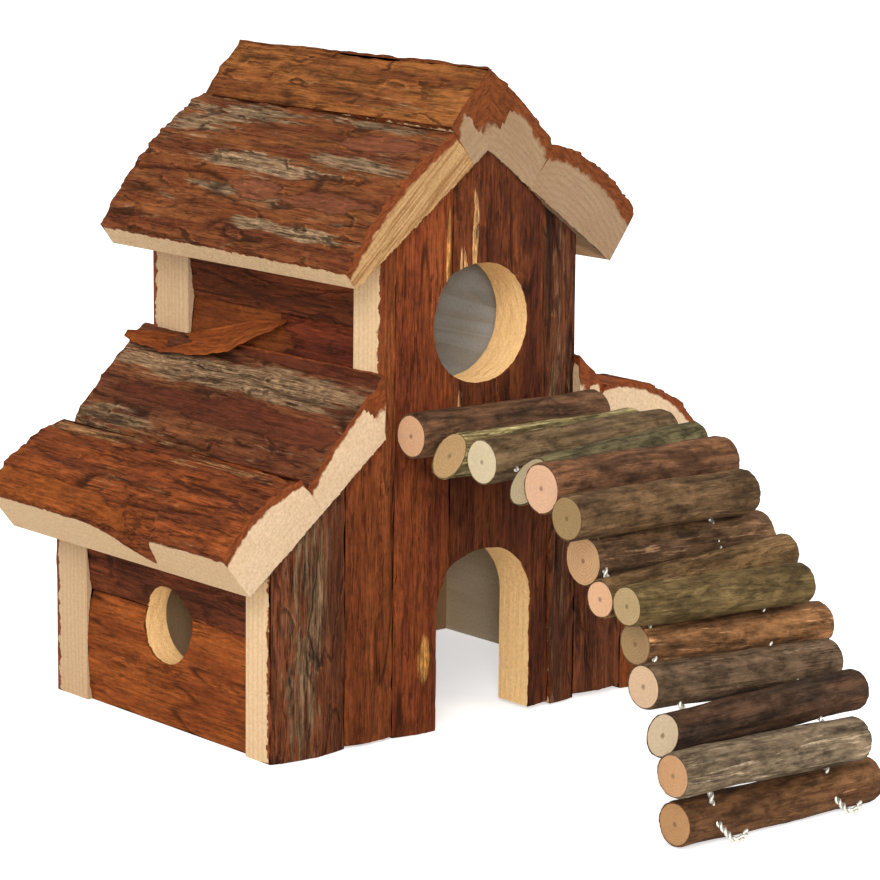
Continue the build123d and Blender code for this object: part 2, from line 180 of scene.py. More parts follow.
class Term:
    """The output of a node. Sums and products with it add Math nodes."""

    def __init__(self, tree, socket):
        self.tree, self.socket = tree, socket

    def __add__(self, other):
        return self.tree.math("ADD", self, other)

    def __sub__(self, other):
        return self.tree.math("SUBTRACT", self, other)

    def __rsub__(self, other):
        return self.tree.math("SUBTRACT", other, self)

    def __mul__(self, other):
        return self.tree.math("MULTIPLY", self, other)

    __radd__, __rmul__ = __add__, __mul__


print("mid grey in linear light", round(paint(128, 128, 128)[0], 3))


# %% A tree of nodes
class Tree:
    """A node tree with one method for each kind of node that the finishes use."""

    def __init__(self, tree):
        self.tree = tree

    def add(self, kind, out=0, **inputs):
        """A new node. Names with set_ are its settings, i0 is its first input, the others go by name."""
        node = self.tree.nodes.new(kind)
        for name, value in inputs.items():
            if name.startswith("set_"):
                setattr(node, name[4:], value)
        for name, value in inputs.items():
            if not name.startswith("set_"):
                key = int(name[1:]) if name[1:].isdigit() else name.replace("_", " ")
                self.plug(node.inputs[key], value)
        return Term(self, node.outputs[out])

    def plug(self, socket, value):
        """Links an output to a socket, or sets the socket to a plain value."""
        if isinstance(value, Term):
            value = value.socket
        if isinstance(value, bpy.types.NodeSocket):
            self.tree.links.new(value, socket)
        else:
            socket.default_value = value

    def attribute(self, name, out="Fac"):
        return self.add("ShaderNodeAttribute", out, set_attribute_name=name)

    def math(self, operation, a, b=0.0):
        return self.add("ShaderNodeMath", set_operation=operation, i0=a, i1=b)

    def ramp(self, value, low, high, to_low=0.0, to_high=1.0):
        return self.add("ShaderNodeMapRange", set_interpolation_type="SMOOTHSTEP",
                        i0=value, i1=low, i2=high, i3=to_low, i4=to_high)

    def swing(self, value, low, high, amount):
        """A ramp from minus the amount to plus the amount."""
        return self.ramp(value, low, high, -amount, amount)

    def mix(self, factor, a, b):
        return self.add("ShaderNodeMix", 2, set_data_type="RGBA", i0=factor, i6=a, i7=b)

    def scaled(self, vector, factor):
        return self.add("ShaderNodeVectorMath", set_operation="SCALE", Vector=vector, Scale=factor)

    def parts(self, vector):
        """A vector's x, y and z."""
        node = self.tree.nodes.new("ShaderNodeSeparateXYZ")
        self.plug(node.inputs[0], vector)
        return [Term(self, output) for output in node.outputs]

    def noise(self, vector, wide, long, detail=3.0, rough=0.55, distortion=0.0, deep=None):
        """Noise with bumps so many millimetres wide and long, and as deep as wide if that isn't given."""
        scale = tuple(1 / (size * MM) for size in (wide, long, deep or wide))
        place = self.add("ShaderNodeVectorMath", set_operation="MULTIPLY", i0=vector, i1=scale)
        return self.add("ShaderNodeTexNoise", Vector=place, Scale=1.0, Detail=detail, Roughness=rough,
                        Distortion=distortion)


print("ways to add nodes", [name for name in vars(Tree) if not name.startswith("_")])


# %% Node groups
def group(name, inputs):
    """An empty node group with named inputs, (name, kind, default), and a surface's three outputs."""
    tree = bpy.data.node_groups.new(name, "ShaderNodeTree")
    for label, kind, value in inputs:
        socket = tree.interface.new_socket(label, in_out="INPUT", socket_type=f"NodeSocket{kind}")
        socket.default_value = value
    for label, kind in (("Color", "Color"), ("Roughness", "Float"), ("Height", "Float")):
        tree.interface.new_socket(label, in_out="OUTPUT", socket_type=f"NodeSocket{kind}")
    return tree, tree.nodes.new("NodeGroupInput").outputs, tree.nodes.new("NodeGroupOutput").inputs


print("node groups so far", len(bpy.data.node_groups))

# %% [markdown]
# ## The bark finish
# The bark is red-brown where only its inner layer is left, and grey-tan where the weathered outer layer
# still sticks. Its cracks and the feet of its plates get painted shade. Where the outer bark was pulled
# off it is smooth and even. The mesh carries what the finish has to know: where a point is along the
# grain, how deep it is in a crack, the level that its plates step by, and where the weathered and the
# peeled zones lie. An image would blur up close and show its seams; noises stretched along the grain don't.

# %% Bark: the group and its noises
bark_tree, given, result = group("Bark", [
    ("Base", "Color", paint(128, 70, 38)), ("Second", "Color", paint(100, 50, 28)),
    ("Deep", "Color", paint(48, 26, 18)), ("Flake", "Color", paint(150, 128, 105)),
    ("Inner", "Color", paint(128, 66, 40)), ("Mottle", "Float", 0.4), ("Cover", "Float", 0.0),
    ("Plates", "Float", 1.0), ("Fibre", "Float", 1.0)])
t = Tree(bark_tree)
grain = t.attribute("grain", "Vector")
peeled = t.attribute("peeled")
torn = t.noise(grain, 1.4, 5, 4.0, 0.6)
drift = t.noise(grain, 7, 70, 4.0, 0.6)
streak = t.noise(grain, 1.5, 30, 5.0, 0.7, 0.5)
hair = t.noise(grain, 0.5, 9, 3.0, 0.65, 0.2)
speck = t.noise(grain, 1.6, 3.2, 4.0, 0.7)
thread = t.noise(grain, 2.4, 40, 4.0, 0.6, 0.6)
blotch = t.noise(grain, 4.5, 10, 4.0, 0.65, 0.3)
worn = t.noise(grain, 2.2, 28, 5.0, 0.72, 0.5)
print("bark noises", sum(node.bl_idname == "ShaderNodeTexNoise" for node in bark_tree.nodes))

# %% [markdown]
# The plates' edges come from the mesh's level. Finer noise is added to it first, so the drawn edges are
# crisper than the mesh: painted shade at each foot, a lip that is lighter partly as worn fibre and partly
# as a painted highlight, and a tone of its own for each plate.

# %% Bark: plates and splits
level = t.attribute("level") + (torn - 0.5) * 0.35
in_step = t.math("FRACT", level)
broken = t.ramp(t.noise(grain, 5, 16), 0.4, 0.56) * given["Plates"]
# painted shade at the foot of each step, and a lip lighter partly from wear and partly as a painted highlight
painted_shade_at_foot = t.ramp(in_step, 0.76, 0.87) * t.ramp(in_step, 0.99, 0.92) * broken
worn_lip_and_highlight = t.math("MAXIMUM", t.ramp(in_step, 0.95, 0.99), t.ramp(in_step, 0.1, 0.0)) * broken
tone = t.math("FRACT", t.math("FLOOR", level) * 0.37) - 0.4
split = t.ramp(t.math("ABSOLUTE", thread - 0.5), 0.022, 0.004)
split = split * t.ramp(t.noise(grain, 8, 20), 0.45, 0.6)
print("nodes for plates and splits", len(bark_tree.nodes))

# %% Bark: colour
colour = t.mix(t.ramp(drift, 0.38, 0.62), given["Base"], given["Second"])
bare = t.mix(t.ramp(drift, 0.35, 0.65, 0.0, 0.35), given["Inner"], given["Second"])
colour = t.mix(peeled, colour, bare)
flaked = t.attribute("patch") + given["Cover"] + (worn - 0.5) * 2.6 + tone * 0.25 - peeled * 0.5
flake_mask = t.ramp(flaked, 0.3, 0.62) * t.ramp(hair, 0.28, 0.5, 0.4, 1.0)
bright = t.ramp(flaked, 0.75, 1.0) * t.ramp(speck, 0.48, 0.58)
colour = t.mix(flake_mask, colour, t.scaled(given["Flake"], 1.0 + bright * 0.4))
# streak, hair and speck also shape the bump: their tone is partly the bark's own streaks and partly painted
# shade in the valleys and painted light on the ridges; Fibre scales the first two
contrast = (1.0 + flake_mask * 0.7) * given["Fibre"] * (1.0 - peeled * 0.35)
lighter = (t.swing(streak, 0.3, 0.7, 0.42) + t.swing(hair, 0.32, 0.68, 0.3)) * contrast
lighter = lighter + t.swing(speck, 0.3, 0.7, 0.22) + worn_lip_and_highlight * 0.45
lighter = lighter + t.swing(blotch, 0.34, 0.66, 0.45) * given["Mottle"] + tone * given["Plates"] * 0.4
colour = t.scaled(colour, t.math("MAXIMUM", 1.0 + lighter * 0.75, 0.2))
# painted shade: cracks, splits and the feet of plates are darkened towards Deep
dark = t.math("MAXIMUM", t.attribute("crack") * 0.8, split * 0.6)
dark = t.math("MAXIMUM", dark, painted_shade_at_foot * 0.75) * (1.0 - peeled * 0.8)
# a peeled zone has a dark line round it, where the outer bark ends
rim = peeled * (1.0 - peeled) * t.ramp(speck, 0.4, 0.6, 0.8, 2.8)
colour = t.mix(t.math("MAXIMUM", dark, rim), colour, given["Deep"])
height = streak * 1.1 + hair * 0.55 + speck * 0.8 + (worn_lip_and_highlight - painted_shade_at_foot) * 0.3 - split * 0.4
t.plug(result["Color"], colour)
t.plug(result["Roughness"], t.ramp(speck, 0.3, 0.7, 0.75, 0.95))
t.plug(result["Height"], height)
print("nodes in the bark group", len(bark_tree.nodes))

# %% [markdown]
# ## The sawn wood finish
# Sawn wood shows the tree's rings. Their distance from the pith is all it takes: on a side face they
# become stripes, on an end face arcs, so one group serves every cut. Near the bark the wood turns
# red-brown, which gives each end the dark rim under its bark. A Wave texture could draw the rings, but
# only round the piece's middle, and the pith of a slab lies outside it.

# %% Sawn wood: rings and saw marks
wood_tree, given, result = group("Sawn Wood", [
    ("Early", "Color", paint(232, 208, 170)), ("Late", "Color", paint(206, 168, 120)),
    ("Rim", "Color", paint(124, 62, 30)), ("Rim Depth", "Float", 2.4), ("Ring Width", "Float", 2.6),
    ("Pith Depth", "Float", 30.0), ("Saw Marks", "Float", 0.5), ("Side", "Color", paint(226, 194, 152)),
    ("Pith", "Float", 0.0), ("Saw Lines", "Float", 0.0), ("Rings", "Float", 0.25),
    ("Soil", "Float", 0.2)])
t = Tree(wood_tree)
grain = t.attribute("grain", "Vector")
cut_end = t.attribute("cut_end")
sideways, _, outwards = t.parts(t.scaled(grain, 1 / MM))
from_pith = outwards + given["Pith Depth"]
radius = t.math("SQRT", t.math("POWER", sideways, 2.0) + t.math("POWER", from_pith, 2.0))
wander = t.noise(grain, 20, 120, 2.0) * 5.0
ring = t.math("FRACT", t.math("DIVIDE", radius + wander, given["Ring Width"]))
late = t.ramp(ring, 0.35, 0.9) * t.ramp(ring, 1.0, 0.93)
pores = t.noise(grain, 0.5, 9, 3.0, 0.6)
cloud = t.noise(grain, 20, 50)
rough_cut = t.noise(grain, 1.1, 1.1, 3.0, 0.6)
# coarse saw lines run slantwise over an end: noise stretched along a turned axis
SAW_SLANT = math.radians(-6)
slanted = t.add("ShaderNodeVectorRotate", set_rotation_type="Y_AXIS", Vector=grain, Angle=SAW_SLANT)
saw_line = t.noise(slanted, 30, 30, 3.0, 0.6, 0.2, deep=1.1)
print("nodes for rings and saw marks", len(wood_tree.nodes))

# %% Sawn wood: colour
early = t.mix(cut_end, given["Side"], given["Early"])
darker = t.add("ShaderNodeVectorMath", set_operation="MULTIPLY", i0=given["Side"], i1=(0.84, 0.74, 0.62))
late_wood = t.mix(cut_end, darker, given["Late"])
colour = t.mix(late * given["Rings"], early, late_wood)
colour = t.mix(t.ramp(pores, 0.56, 0.74, 0.0, 0.4), colour, late_wood)
colour = t.mix(t.ramp(saw_line, 0.44, 0.6) * given["Saw Lines"] * cut_end, colour, given["Late"])
colour = t.mix(t.ramp(cloud, 0.42, 0.7) * given["Soil"], colour, late_wood)
colour = t.mix(t.ramp(radius, 1.3, 0.6) * given["Pith"] * cut_end, colour, given["Rim"])
colour = t.scaled(colour, 1.0 + (rough_cut - 0.5) * given["Saw Marks"])
# the dark rind under the bark is seen in full on a cut end, and thinner on a side
skin = t.attribute("skin") * (1 / MM) + (t.noise(grain, 4, 4) - 0.5) * given["Rim Depth"]
rim_depth = given["Rim Depth"] * t.ramp(cut_end, 0.0, 1.0, 0.35, 1.0)
near_bark = 1.0 - t.ramp(t.math("DIVIDE", skin, rim_depth), 0.85, 1.15)
rind = t.noise(grain, 4, 4, 4.0, 0.7, 0.3, deep=1.2)
colour = t.mix(near_bark, colour, t.scaled(given["Rim"], t.ramp(rind, 0.35, 0.65, 0.6, 1.25)))
t.plug(result["Color"], colour)
t.plug(result["Roughness"], t.ramp(pores, 0.3, 0.7, 0.55, 0.75))
t.plug(result["Height"], rough_cut * given["Saw Marks"] + pores * 0.5)
print("nodes in the sawn wood group", len(wood_tree.nodes))

# %% [markdown]
# ## Materials
# Every material uses one of the two groups with colours of its own, so a change to the group reaches
# all of them. The shader and the bump stay in the material itself.

# %% Material makers
SPECULAR = 0.08
BUMP_REACH = 0.6 * MM


def finish(name, tree, bump, **values):
    """A material from a shared group, whose inputs are given by name."""
    material = bpy.data.materials.new(name)
    material.use_nodes = True
    t = Tree(material.node_tree)
    shader = material.node_tree.nodes["Principled BSDF"]
    block = material.node_tree.nodes.new("ShaderNodeGroup")
    block.node_tree = tree
    for label, value in values.items():
        block.inputs[label.replace("_", " ")].default_value = value
    t.plug(shader.inputs["Base Color"], block.outputs["Color"])
    t.plug(shader.inputs["Roughness"], block.outputs["Roughness"])
    shader.inputs["Specular IOR Level"].default_value = SPECULAR
    bumped = t.add("ShaderNodeBump", Strength=bump, Distance=BUMP_REACH, Height=block.outputs["Height"])
    t.plug(shader.inputs["Normal"], bumped)
    return material


def bark(name, base, second, flake, inner, cover, plates, fibre, mottle=0.3):
    """A bark in four screen colours, with the amounts of its flakes, plates, fibres and mottling; plates and
    fibres also scale their painted shade and highlight.
    """
    # Deep is the colour of the painted shade in cracks, splits and at the feet of plates
    return finish(name, bark_tree, 1.0, Base=paint(*base), Second=paint(*second), Flake=paint(*flake),
                  Deep=paint(*(c * 0.4 for c in second)), Inner=paint(*inner), Cover=cover,
                  Plates=plates, Fibre=fibre, Mottle=mottle)


def wood(name, bump, early, late, side, **values):
    """A sawn wood in three screen colours: early wood, late wood, and its side faces."""
    return finish(name, wood_tree, bump, Early=paint(*early), Late=paint(*late), Side=paint(*side),
                  **values)


print("groups to use", [tree.name for tree in (bark_tree, wood_tree)])

# %% The materials of the house
bark_looks = {
    "tower_roof_bark": ((130, 76, 40), (106, 54, 30), (134, 108, 80), (130, 76, 50), 0.1, 1.0, 1.15),
    "ridge_bark": ((148, 90, 44), (122, 68, 34), (142, 110, 74), (136, 80, 40), 0.05, 1.0, 1.2),
    "grey_roof_bark": ((122, 72, 42), (100, 54, 34), (132, 104, 76), (100, 50, 32), 0.12, 1.0, 1.15),
    "orange_roof_bark": ((142, 72, 32), (108, 54, 28), (138, 98, 62), (142, 74, 30), 0.02, 0.9, 1.4, 0.6),
    "wall_bark": ((138, 74, 38), (112, 56, 28), (140, 100, 66), (124, 64, 32), -0.1, 0.5, 1.0),
    "ochre_wall_bark": ((133, 67, 33), (110, 52, 28), (176, 122, 62), (124, 64, 32), -0.15, 0.5, 1.1),
    "worn_wall_bark": ((106, 55, 29), (82, 40, 23), (190, 142, 92), (104, 50, 26), -0.2, 0.6, 1.1),
    "grey_wall_bark": ((116, 64, 38), (86, 48, 30), (112, 86, 62), (104, 56, 34), 0.02, 0.9, 1.2),
    "dark_wall_bark": ((98, 54, 32), (70, 40, 26), (106, 78, 56), (84, 42, 26), 0.05, 0.7, 1.1),
    "orange_side_bark": ((152, 80, 34), (126, 62, 27), (140, 96, 58), (134, 68, 28), -0.15, 0.5, 0.9),
    "dark_side_bark": ((112, 56, 30), (84, 42, 24), (104, 74, 50), (84, 40, 24), 0.0, 0.8, 1.0),
    "red_side_bark": ((108, 48, 27), (84, 37, 23), (110, 74, 50), (122, 63, 28), -0.1, 0.6, 1.0),
}
barks = {name: bark(name, *look) for name, look in bark_looks.items()}
EAVE = (206, 174, 134)
sawn_wood = wood("sawn_wood", 0.5, (226, 194, 150), (206, 162, 114), (220, 188, 147),
                 Rings=0.5, Rim_Depth=6.5)
cream_end = wood("cream_end", 0.8, (211, 182, 148), (196, 158, 116), EAVE,
                 Saw_Marks=0.7, Rings=0.15, Rim_Depth=3.6)
yellow_end = wood("yellow_end", 1.0, (185, 146, 99), (136, 92, 50), EAVE,
                  Saw_Marks=0.9, Rings=0.0, Saw_Lines=0.8, Rim_Depth=3.9)
grey_end = wood("grey_end", 0.8, (154, 127, 98), (134, 102, 72), EAVE,
                Saw_Marks=0.4, Rings=0.3, Saw_Lines=0.3, Rim_Depth=6.5, Rim=paint(112, 58, 26))
rear_wood = wood("rear_wood", 0.5, (206, 172, 132), (182, 142, 100), (200, 168, 131),
                 Rings=0.5, Rim_Depth=6.5)
opening_wood = wood("opening_wood", 0.9, (232, 208, 170), (206, 168, 120), (255, 212, 150),
                    Rings=0.3, Saw_Marks=0.6)
# the house's inner faces are painted lighter than their wood: painted light for the dim room inside
room_wood_painted_light = wood("room_wood_painted_light", 0.5, (250, 232, 200), (220, 192, 152), (250, 232, 200))
grey_room_wood_painted_light = wood("grey_room_wood_painted_light", 0.5, (246, 242, 232), (176, 164, 142), (246, 242, 232),
                      Soil=0.5, Rings=0.5)
print("materials", len(bpy.data.materials))

# %% [markdown]
# ## A slab sawn off a log
# A slab has a flat back, square edges and a crowned bark face. It starts as one flat grid, the bark
# face. Its rim is extruded down in steps for the sides, and one last face closes the back. All of it
# lies between 0 and 1 at first. A mapping then stretches that unit slab to the real one, so the same
# few operators make roof slabs, wall boards and side boards. A cut-up cube would do as well, but a grid
# puts its points evenly over the bark, where the relief needs them.

# %% Small helpers for meshes
BARK, SAWN, OPENING = 0, 1, 2
CELL = 0.8 * MM


def only(items, kind):
    """The vertices, edges or faces among what an operator made."""
    return [item for item in items if isinstance(item, kind)]


def mark(faces, slot):
    """Gives faces their material slot."""
    for face in faces:
        face.material_index = slot


def to_mesh(bm, name):
    mesh = bpy.data.meshes.new(name)
    bm.to_mesh(mesh)
    bm.free()
    return mesh


def closed_mesh(bm, name):
    """A mesh whose faces all look outwards."""
    bmesh.ops.recalc_face_normals(bm, faces=bm.faces)
    return to_mesh(bm, name)


def in_scene(name, data):
    """A new object in the scene."""
    item = bpy.data.objects.new(name, data)
    bpy.context.scene.collection.objects.link(item)
    return item


def points_of(mesh):
    co = np.zeros(len(mesh.vertices) * 3)
    mesh.vertices.foreach_get("co", co)
    return co.reshape(-1, 3)


def set_points(mesh, co):
    mesh.vertices.foreach_set("co", np.ascontiguousarray(co, np.float32).ravel())
    mesh.update()


print("grid cell", CELL / MM, "mm")

# %% The unit slab
SIDE_ROWS = (0.97, 0.9, 0.78, 0.64, 0.5, 0.36, 0.22, 0.1, 0.0)
LEAST_CELLS = 6


def unit_slab(width, length):
    """A closed slab from 0 to 1 each way, with the bark on its upper face."""
    bm = bmesh.new()
    columns, rows = (max(LEAST_CELLS, round(size / CELL)) for size in (width, length))
    bmesh.ops.create_grid(bm, x_segments=columns, y_segments=rows, size=0.5)
    bmesh.ops.translate(bm, verts=bm.verts, vec=(0.5, 0.5, 1.0))
    mark(bm.faces, BARK)
    rim = [edge for edge in bm.edges if edge.is_boundary]
    for height in SIDE_ROWS:
        grown = bmesh.ops.extrude_edge_only(bm, edges=rim)["geom"]
        fresh = set(only(grown, bmesh.types.BMVert))
        for vert in fresh:
            vert.co.z = height
        mark(only(grown, bmesh.types.BMFace), SAWN)
        rim = [edge for edge in only(grown, bmesh.types.BMEdge) if fresh.issuperset(edge.verts)]
    mark(bmesh.ops.edgeloop_fill(bm, edges=rim)["faces"], SAWN)
    return closed_mesh(bm, "slab")


def crowned(width, start, crown, place, end):
    """The slab's thickness at a place across and along it: an arc through three points."""
    x2, x3 = width * place, width
    turn = 2 * (x2 * (end - start) - x3 * (crown - start))
    square2 = x2 ** 2 + (crown - start) ** 2
    square3 = x3 ** 2 + (end - start) ** 2
    cx = (square2 * (end - start) - square3 * (crown - start)) / turn
    cy = (x2 * square3 - x3 * square2) / turn
    radius = math.hypot(cx, cy)
    return lambda a, l: start + cy + np.sqrt(np.maximum(radius ** 2 - (a - cx) ** 2, 0))


print("a slab's middle", round(float(crowned(1.0, 0.5, 0.6, 0.5, 0.5)(0.5, 0)), 3), "of a crown of 0.6")

# %% [markdown]
# ## From unit slab to board
# After the mapping, openings are cut with a Boolean. Only then does the bark get its relief, because
# the height depends on where a point is, and the cut's new points need it too. The same step writes
# the attributes that the finishes read.

# %% Places and attributes of a slab
class Log:
    """Where a slab lies: its corner, and the ways across it, along its grain and out of its bark."""

    def __init__(self, *corner_and_ways):
        self.corner, self.across, self.along, self.outward = (np.array(v, float) for v in corner_and_ways)

    def place(self, a, l, d):
        """Points from their distances across the slab, along it and out of its back."""
        ways = a[:, None] * self.across + l[:, None] * self.along + d[:, None] * self.outward
        return self.corner + ways

    def read(self, co):
        """The three distances of points: the other way round."""
        away = co - self.corner
        return away @ self.across, away @ self.along, away @ self.outward


def bark_points(mesh):
    """True for each point of a bark face. Bark is shaded smooth, and its border with sawn wood sharp."""
    index, total = np.zeros((2, len(mesh.polygons)), int)
    mesh.polygons.foreach_get("material_index", index)
    mesh.polygons.foreach_get("loop_total", total)
    mesh.polygons.foreach_set("use_smooth", index == BARK)
    corner, edge_of = np.zeros((2, len(mesh.loops)), int)
    mesh.loops.foreach_get("vertex_index", corner)
    mesh.loops.foreach_get("edge_index", edge_of)
    found = np.zeros(len(mesh.vertices), bool)
    found[corner[np.repeat(index == BARK, total)]] = True
    beside = np.zeros((2, len(mesh.edges)), bool)
    for kind, faces in enumerate((index == BARK, index != BARK)):
        beside[kind][edge_of[np.repeat(faces, total)]] = True
    sharp = mesh.attributes.get("sharp_edge") or mesh.attributes.new("sharp_edge", "BOOLEAN", "EDGE")
    sharp.data.foreach_set("value", beside[0] & beside[1])
    return found


def write_attribute(mesh, name, values):
    kind, key = ("FLOAT_VECTOR", "vector") if values.ndim == 2 else ("FLOAT", "value")
    layer = mesh.attributes.new(name, kind, "POINT")
    layer.data.foreach_set(key, np.ascontiguousarray(values, np.float32).ravel())


def patches_at(across, along, patches):
    """How far points are in soft ellipses: across, along, half width, half length, strength, in shares."""
    total = np.zeros_like(across)
    for a, l, half_a, half_l, strength in patches:
        away = np.hypot((across - a) / half_a, (along - l) / half_l)
        total = np.maximum(total, strength * (1 - smooth_step(0.3, 1.25, away)))
    return total


print("patch at its middle", float(patches_at(np.zeros(1), np.zeros(1), [(0, 0, 1, 1, 0.8)])[0]))

# %% Cuts, peeled zones and torn ends
AT_END = 0.3 * MM
TORN = 1.4 * MM
SPLINTER = 1.1 * MM
PEEL_DEPTH = 0.6 * MM


def cut_openings(piece, cutters):
    """Cuts the openings with a Boolean, and gives the piece the cut mesh."""
    for cutter in cutters:
        cut = piece.modifiers.new("opening", "BOOLEAN")
        cut.operation, cut.solver, cut.object = "DIFFERENCE", "EXACT", cutter
    piece.data.materials.append(opening_wood)
    view = bpy.context.evaluated_depsgraph_get()
    mesh = bpy.data.meshes.new_from_object(piece.evaluated_get(view))
    piece.modifiers.clear()
    piece.data = mesh
    return mesh


def peeled_zones(a, l, width, length, peels, seed):
    """1 where the outer bark has been pulled off, inside a torn outline."""
    tear = 0.5 * noise(a / (6 * MM), l / (24 * MM), 0 * a, seed + 14)
    tear = tear + 0.16 * noise(a / (2 * MM), l / (6 * MM), 0 * a, seed + 15)
    return smooth_step(0.4, 0.55, patches_at(a / width, l / length, peels) + tear)


def torn_ends(co, a, l, d, skin, log, length, seed):
    """The saw's damage to a roof slab: splinters under its front end, and chips off the bark at both."""
    lower_edge = (np.abs(d) < 0.01 * MM) & (l < 0.01 * MM)
    splinter = np.abs(noise(a / (1.6 * MM), 0 * a, 0 * a, seed + 12))
    splinter = splinter + 0.5 * np.abs(noise(a / (5 * MM), 0 * a, 0 * a, seed + 13))
    co = co - np.where(lower_edge, SPLINTER * splinter, 0)[:, None] * log.outward
    end = np.sign(l - length / 2)
    near_end = smooth_step(0.94, 1.0, np.abs(2 * l / length - 1))
    near_skin = np.exp(-skin / (3 * MM))
    chips = 2.2 * noise(a / (6 * MM), end, 0 * a, seed + 9)
    chips = np.floor(chips) + smooth_step(0.6, 1, chips - np.floor(chips))
    torn = 0.55 * chips + 0.6 * noise(a / (2.2 * MM), end, 0 * a, seed + 10)
    return co + (end * torn * TORN * near_end * near_skin)[:, None] * log.along


print("bark is torn by up to about", round(TORN / MM, 1), "mm at a slab's ends")

# %% Dressing a slab
GRAIN_STEP = 0.17
PITH_PLACE_SHARE = 0.45
WANE_WIDTH = 1.4 * MM


def dress(name, mesh, log, width, length, thickness, looks, seed, rough=1.0, wane=0.6, patches=(),
          peels=(), cutters=(), ragged=False):
    """Cuts, roughens and finishes a mapped slab and puts it in the scene on the house."""
    piece = in_scene(name + "_log", mesh)
    for look in looks:
        mesh.materials.append(look)
    if cutters:
        mesh = cut_openings(piece, cutters)
    co = points_of(mesh)
    a, l, d = log.read(co)
    on_bark = bark_points(mesh)
    skin = np.where(on_bark, 0.0, np.maximum(thickness(a, l) - d, 0))
    if ragged:
        # where a roof slab meets the one above it, its bark reaches further down its side
        skin = np.where(a < 0.5 * MM, 0.35 * skin, skin)
    lift, crack, level = bark_relief(a, l, d * 0.2, seed, rough)
    peeled = peeled_zones(a, l, width, length, peels, seed) if peels else 0 * a
    lift = lift * (1 - 0.6 * peeled) - PEEL_DEPTH * peeled
    # the bark is a little worn away along the slab's edges
    edge = np.maximum(np.minimum(a, width - a), 0)
    uneven = np.maximum(0.6 + noise(l / (9 * MM), a / (20 * MM), 0 * a, seed + 11), 0)
    lift = lift - wane * MM * uneven * np.exp(-edge / WANE_WIDTH)
    co = co + np.where(on_bark, lift, 0)[:, None] * log.outward
    if ragged:
        co = torn_ends(co, a, l, d, skin, log, length, seed)
    set_points(mesh, co)
    cut_end = (l < AT_END) | (l > length - AT_END)
    patch = patches_at(a / width, l / length, patches)
    grain = np.stack([a - width * PITH_PLACE_SHARE, l + GRAIN_STEP * seed, d], axis=-1)
    write_attribute(mesh, "grain", grain)
    write_attribute(mesh, "skin", skin)
    write_attribute(mesh, "cut_end", np.where(on_bark, 0, cut_end.astype(float)))
    for field, values in (("crack", crack), ("level", level), ("peeled", peeled), ("patch", patch)):
        write_attribute(mesh, field, np.where(on_bark, values, 0))
    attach(piece, "house")
    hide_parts(name)


print("each slab's grain starts", GRAIN_STEP, "m further on, so no two look alike")

# %% [markdown]
# ## Roof slabs
# Two slabs lie on each slope, and the upper one is sawn upright where it meets the ridge or the tower.
# A Boolean could make that cut, but it leaves long thin faces along the bark. In the mapping it is only
# a lean of the slab's upper side.

# %% The roofs' tables
# width as a share of the slope, then, in slab thicknesses, upper edge, crown, the crown's place and lower
# edge
tower_left_shares = ((0.115, 1.0, 1.15, 0.45, 0.95), (0.885, 0.9, 0.98, 0.3, 0.45))
tower_right_shares = ((0.343, 1.02, 1.18, 0.6, 0.98), (0.657, 1.0, 1.32, 0.55, 1.1))
wing_left_shares = ((0.464, 0.9, 0.965, 0.0, 0.61), (0.536, 0.85, 1.15, 0.55, 1.0))
wing_right_shares = ((0.075, 0.72, 0.82, 0.5, 0.75), (0.925, 0.8, 1.65, 0.55, 1.05))

# each slab's bark and sawn end
roof_looks = {
    "tower_roof_left_slab_1": ("ridge_bark", grey_end),
    "tower_roof_left_slab_2": ("tower_roof_bark", yellow_end),
    "tower_roof_right_slab_1": ("tower_roof_bark", grey_end),
    "tower_roof_right_slab_2": ("tower_roof_bark", grey_end),
    "wing_roof_left_slab_1": ("grey_roof_bark", cream_end),
    "wing_roof_left_slab_2": ("orange_roof_bark", cream_end),
    "wing_roof_right_slab_1": ("grey_roof_bark", cream_end),
    "wing_roof_right_slab_2": ("orange_roof_bark", cream_end),
}
# weathered patches: across from the upper edge, along from the front, half width, half length, strength
roof_patches = {
    "tower_roof_left_slab_1": ((0.3, 0.3, 0.6, 0.2, 0.2),),
    "tower_roof_left_slab_2": (
        (0.11, 0.71, 0.09, 0.2, 0.75), (0.04, 0.34, 0.05, 0.3, 0.5), (0.47, 0.52, 0.08, 0.36, 0.65),
        (0.37, 0.22, 0.07, 0.26, 0.7), (0.85, 0.22, 0.05, 0.14, 1.0), (0.83, 0.42, 0.05, 0.12, 0.9),
        (0.66, 0.55, 0.05, 0.25, 0.5), (0.2, 0.9, 0.3, 0.2, 0.4)),
    "tower_roof_right_slab_1": ((0.5, 0.5, 0.3, 0.3, 0.3),),
    "tower_roof_right_slab_2": ((0.4, 0.6, 0.2, 0.3, 0.5),),
    "wing_roof_left_slab_1": ((0.02, 0.5, 0.22, 0.75, 0.85), (0.8, 0.85, 0.2, 0.3, 0.5)),
    "wing_roof_left_slab_2": (
        (0.05, 0.85, 0.2, 0.3, 0.6), (0.12, 0.3, 0.1, 0.4, 0.4), (0.6, 0.5, 0.1, 0.4, 0.2)),
    "wing_roof_right_slab_2": ((0.4, 0.5, 0.2, 0.4, 0.4),),
}
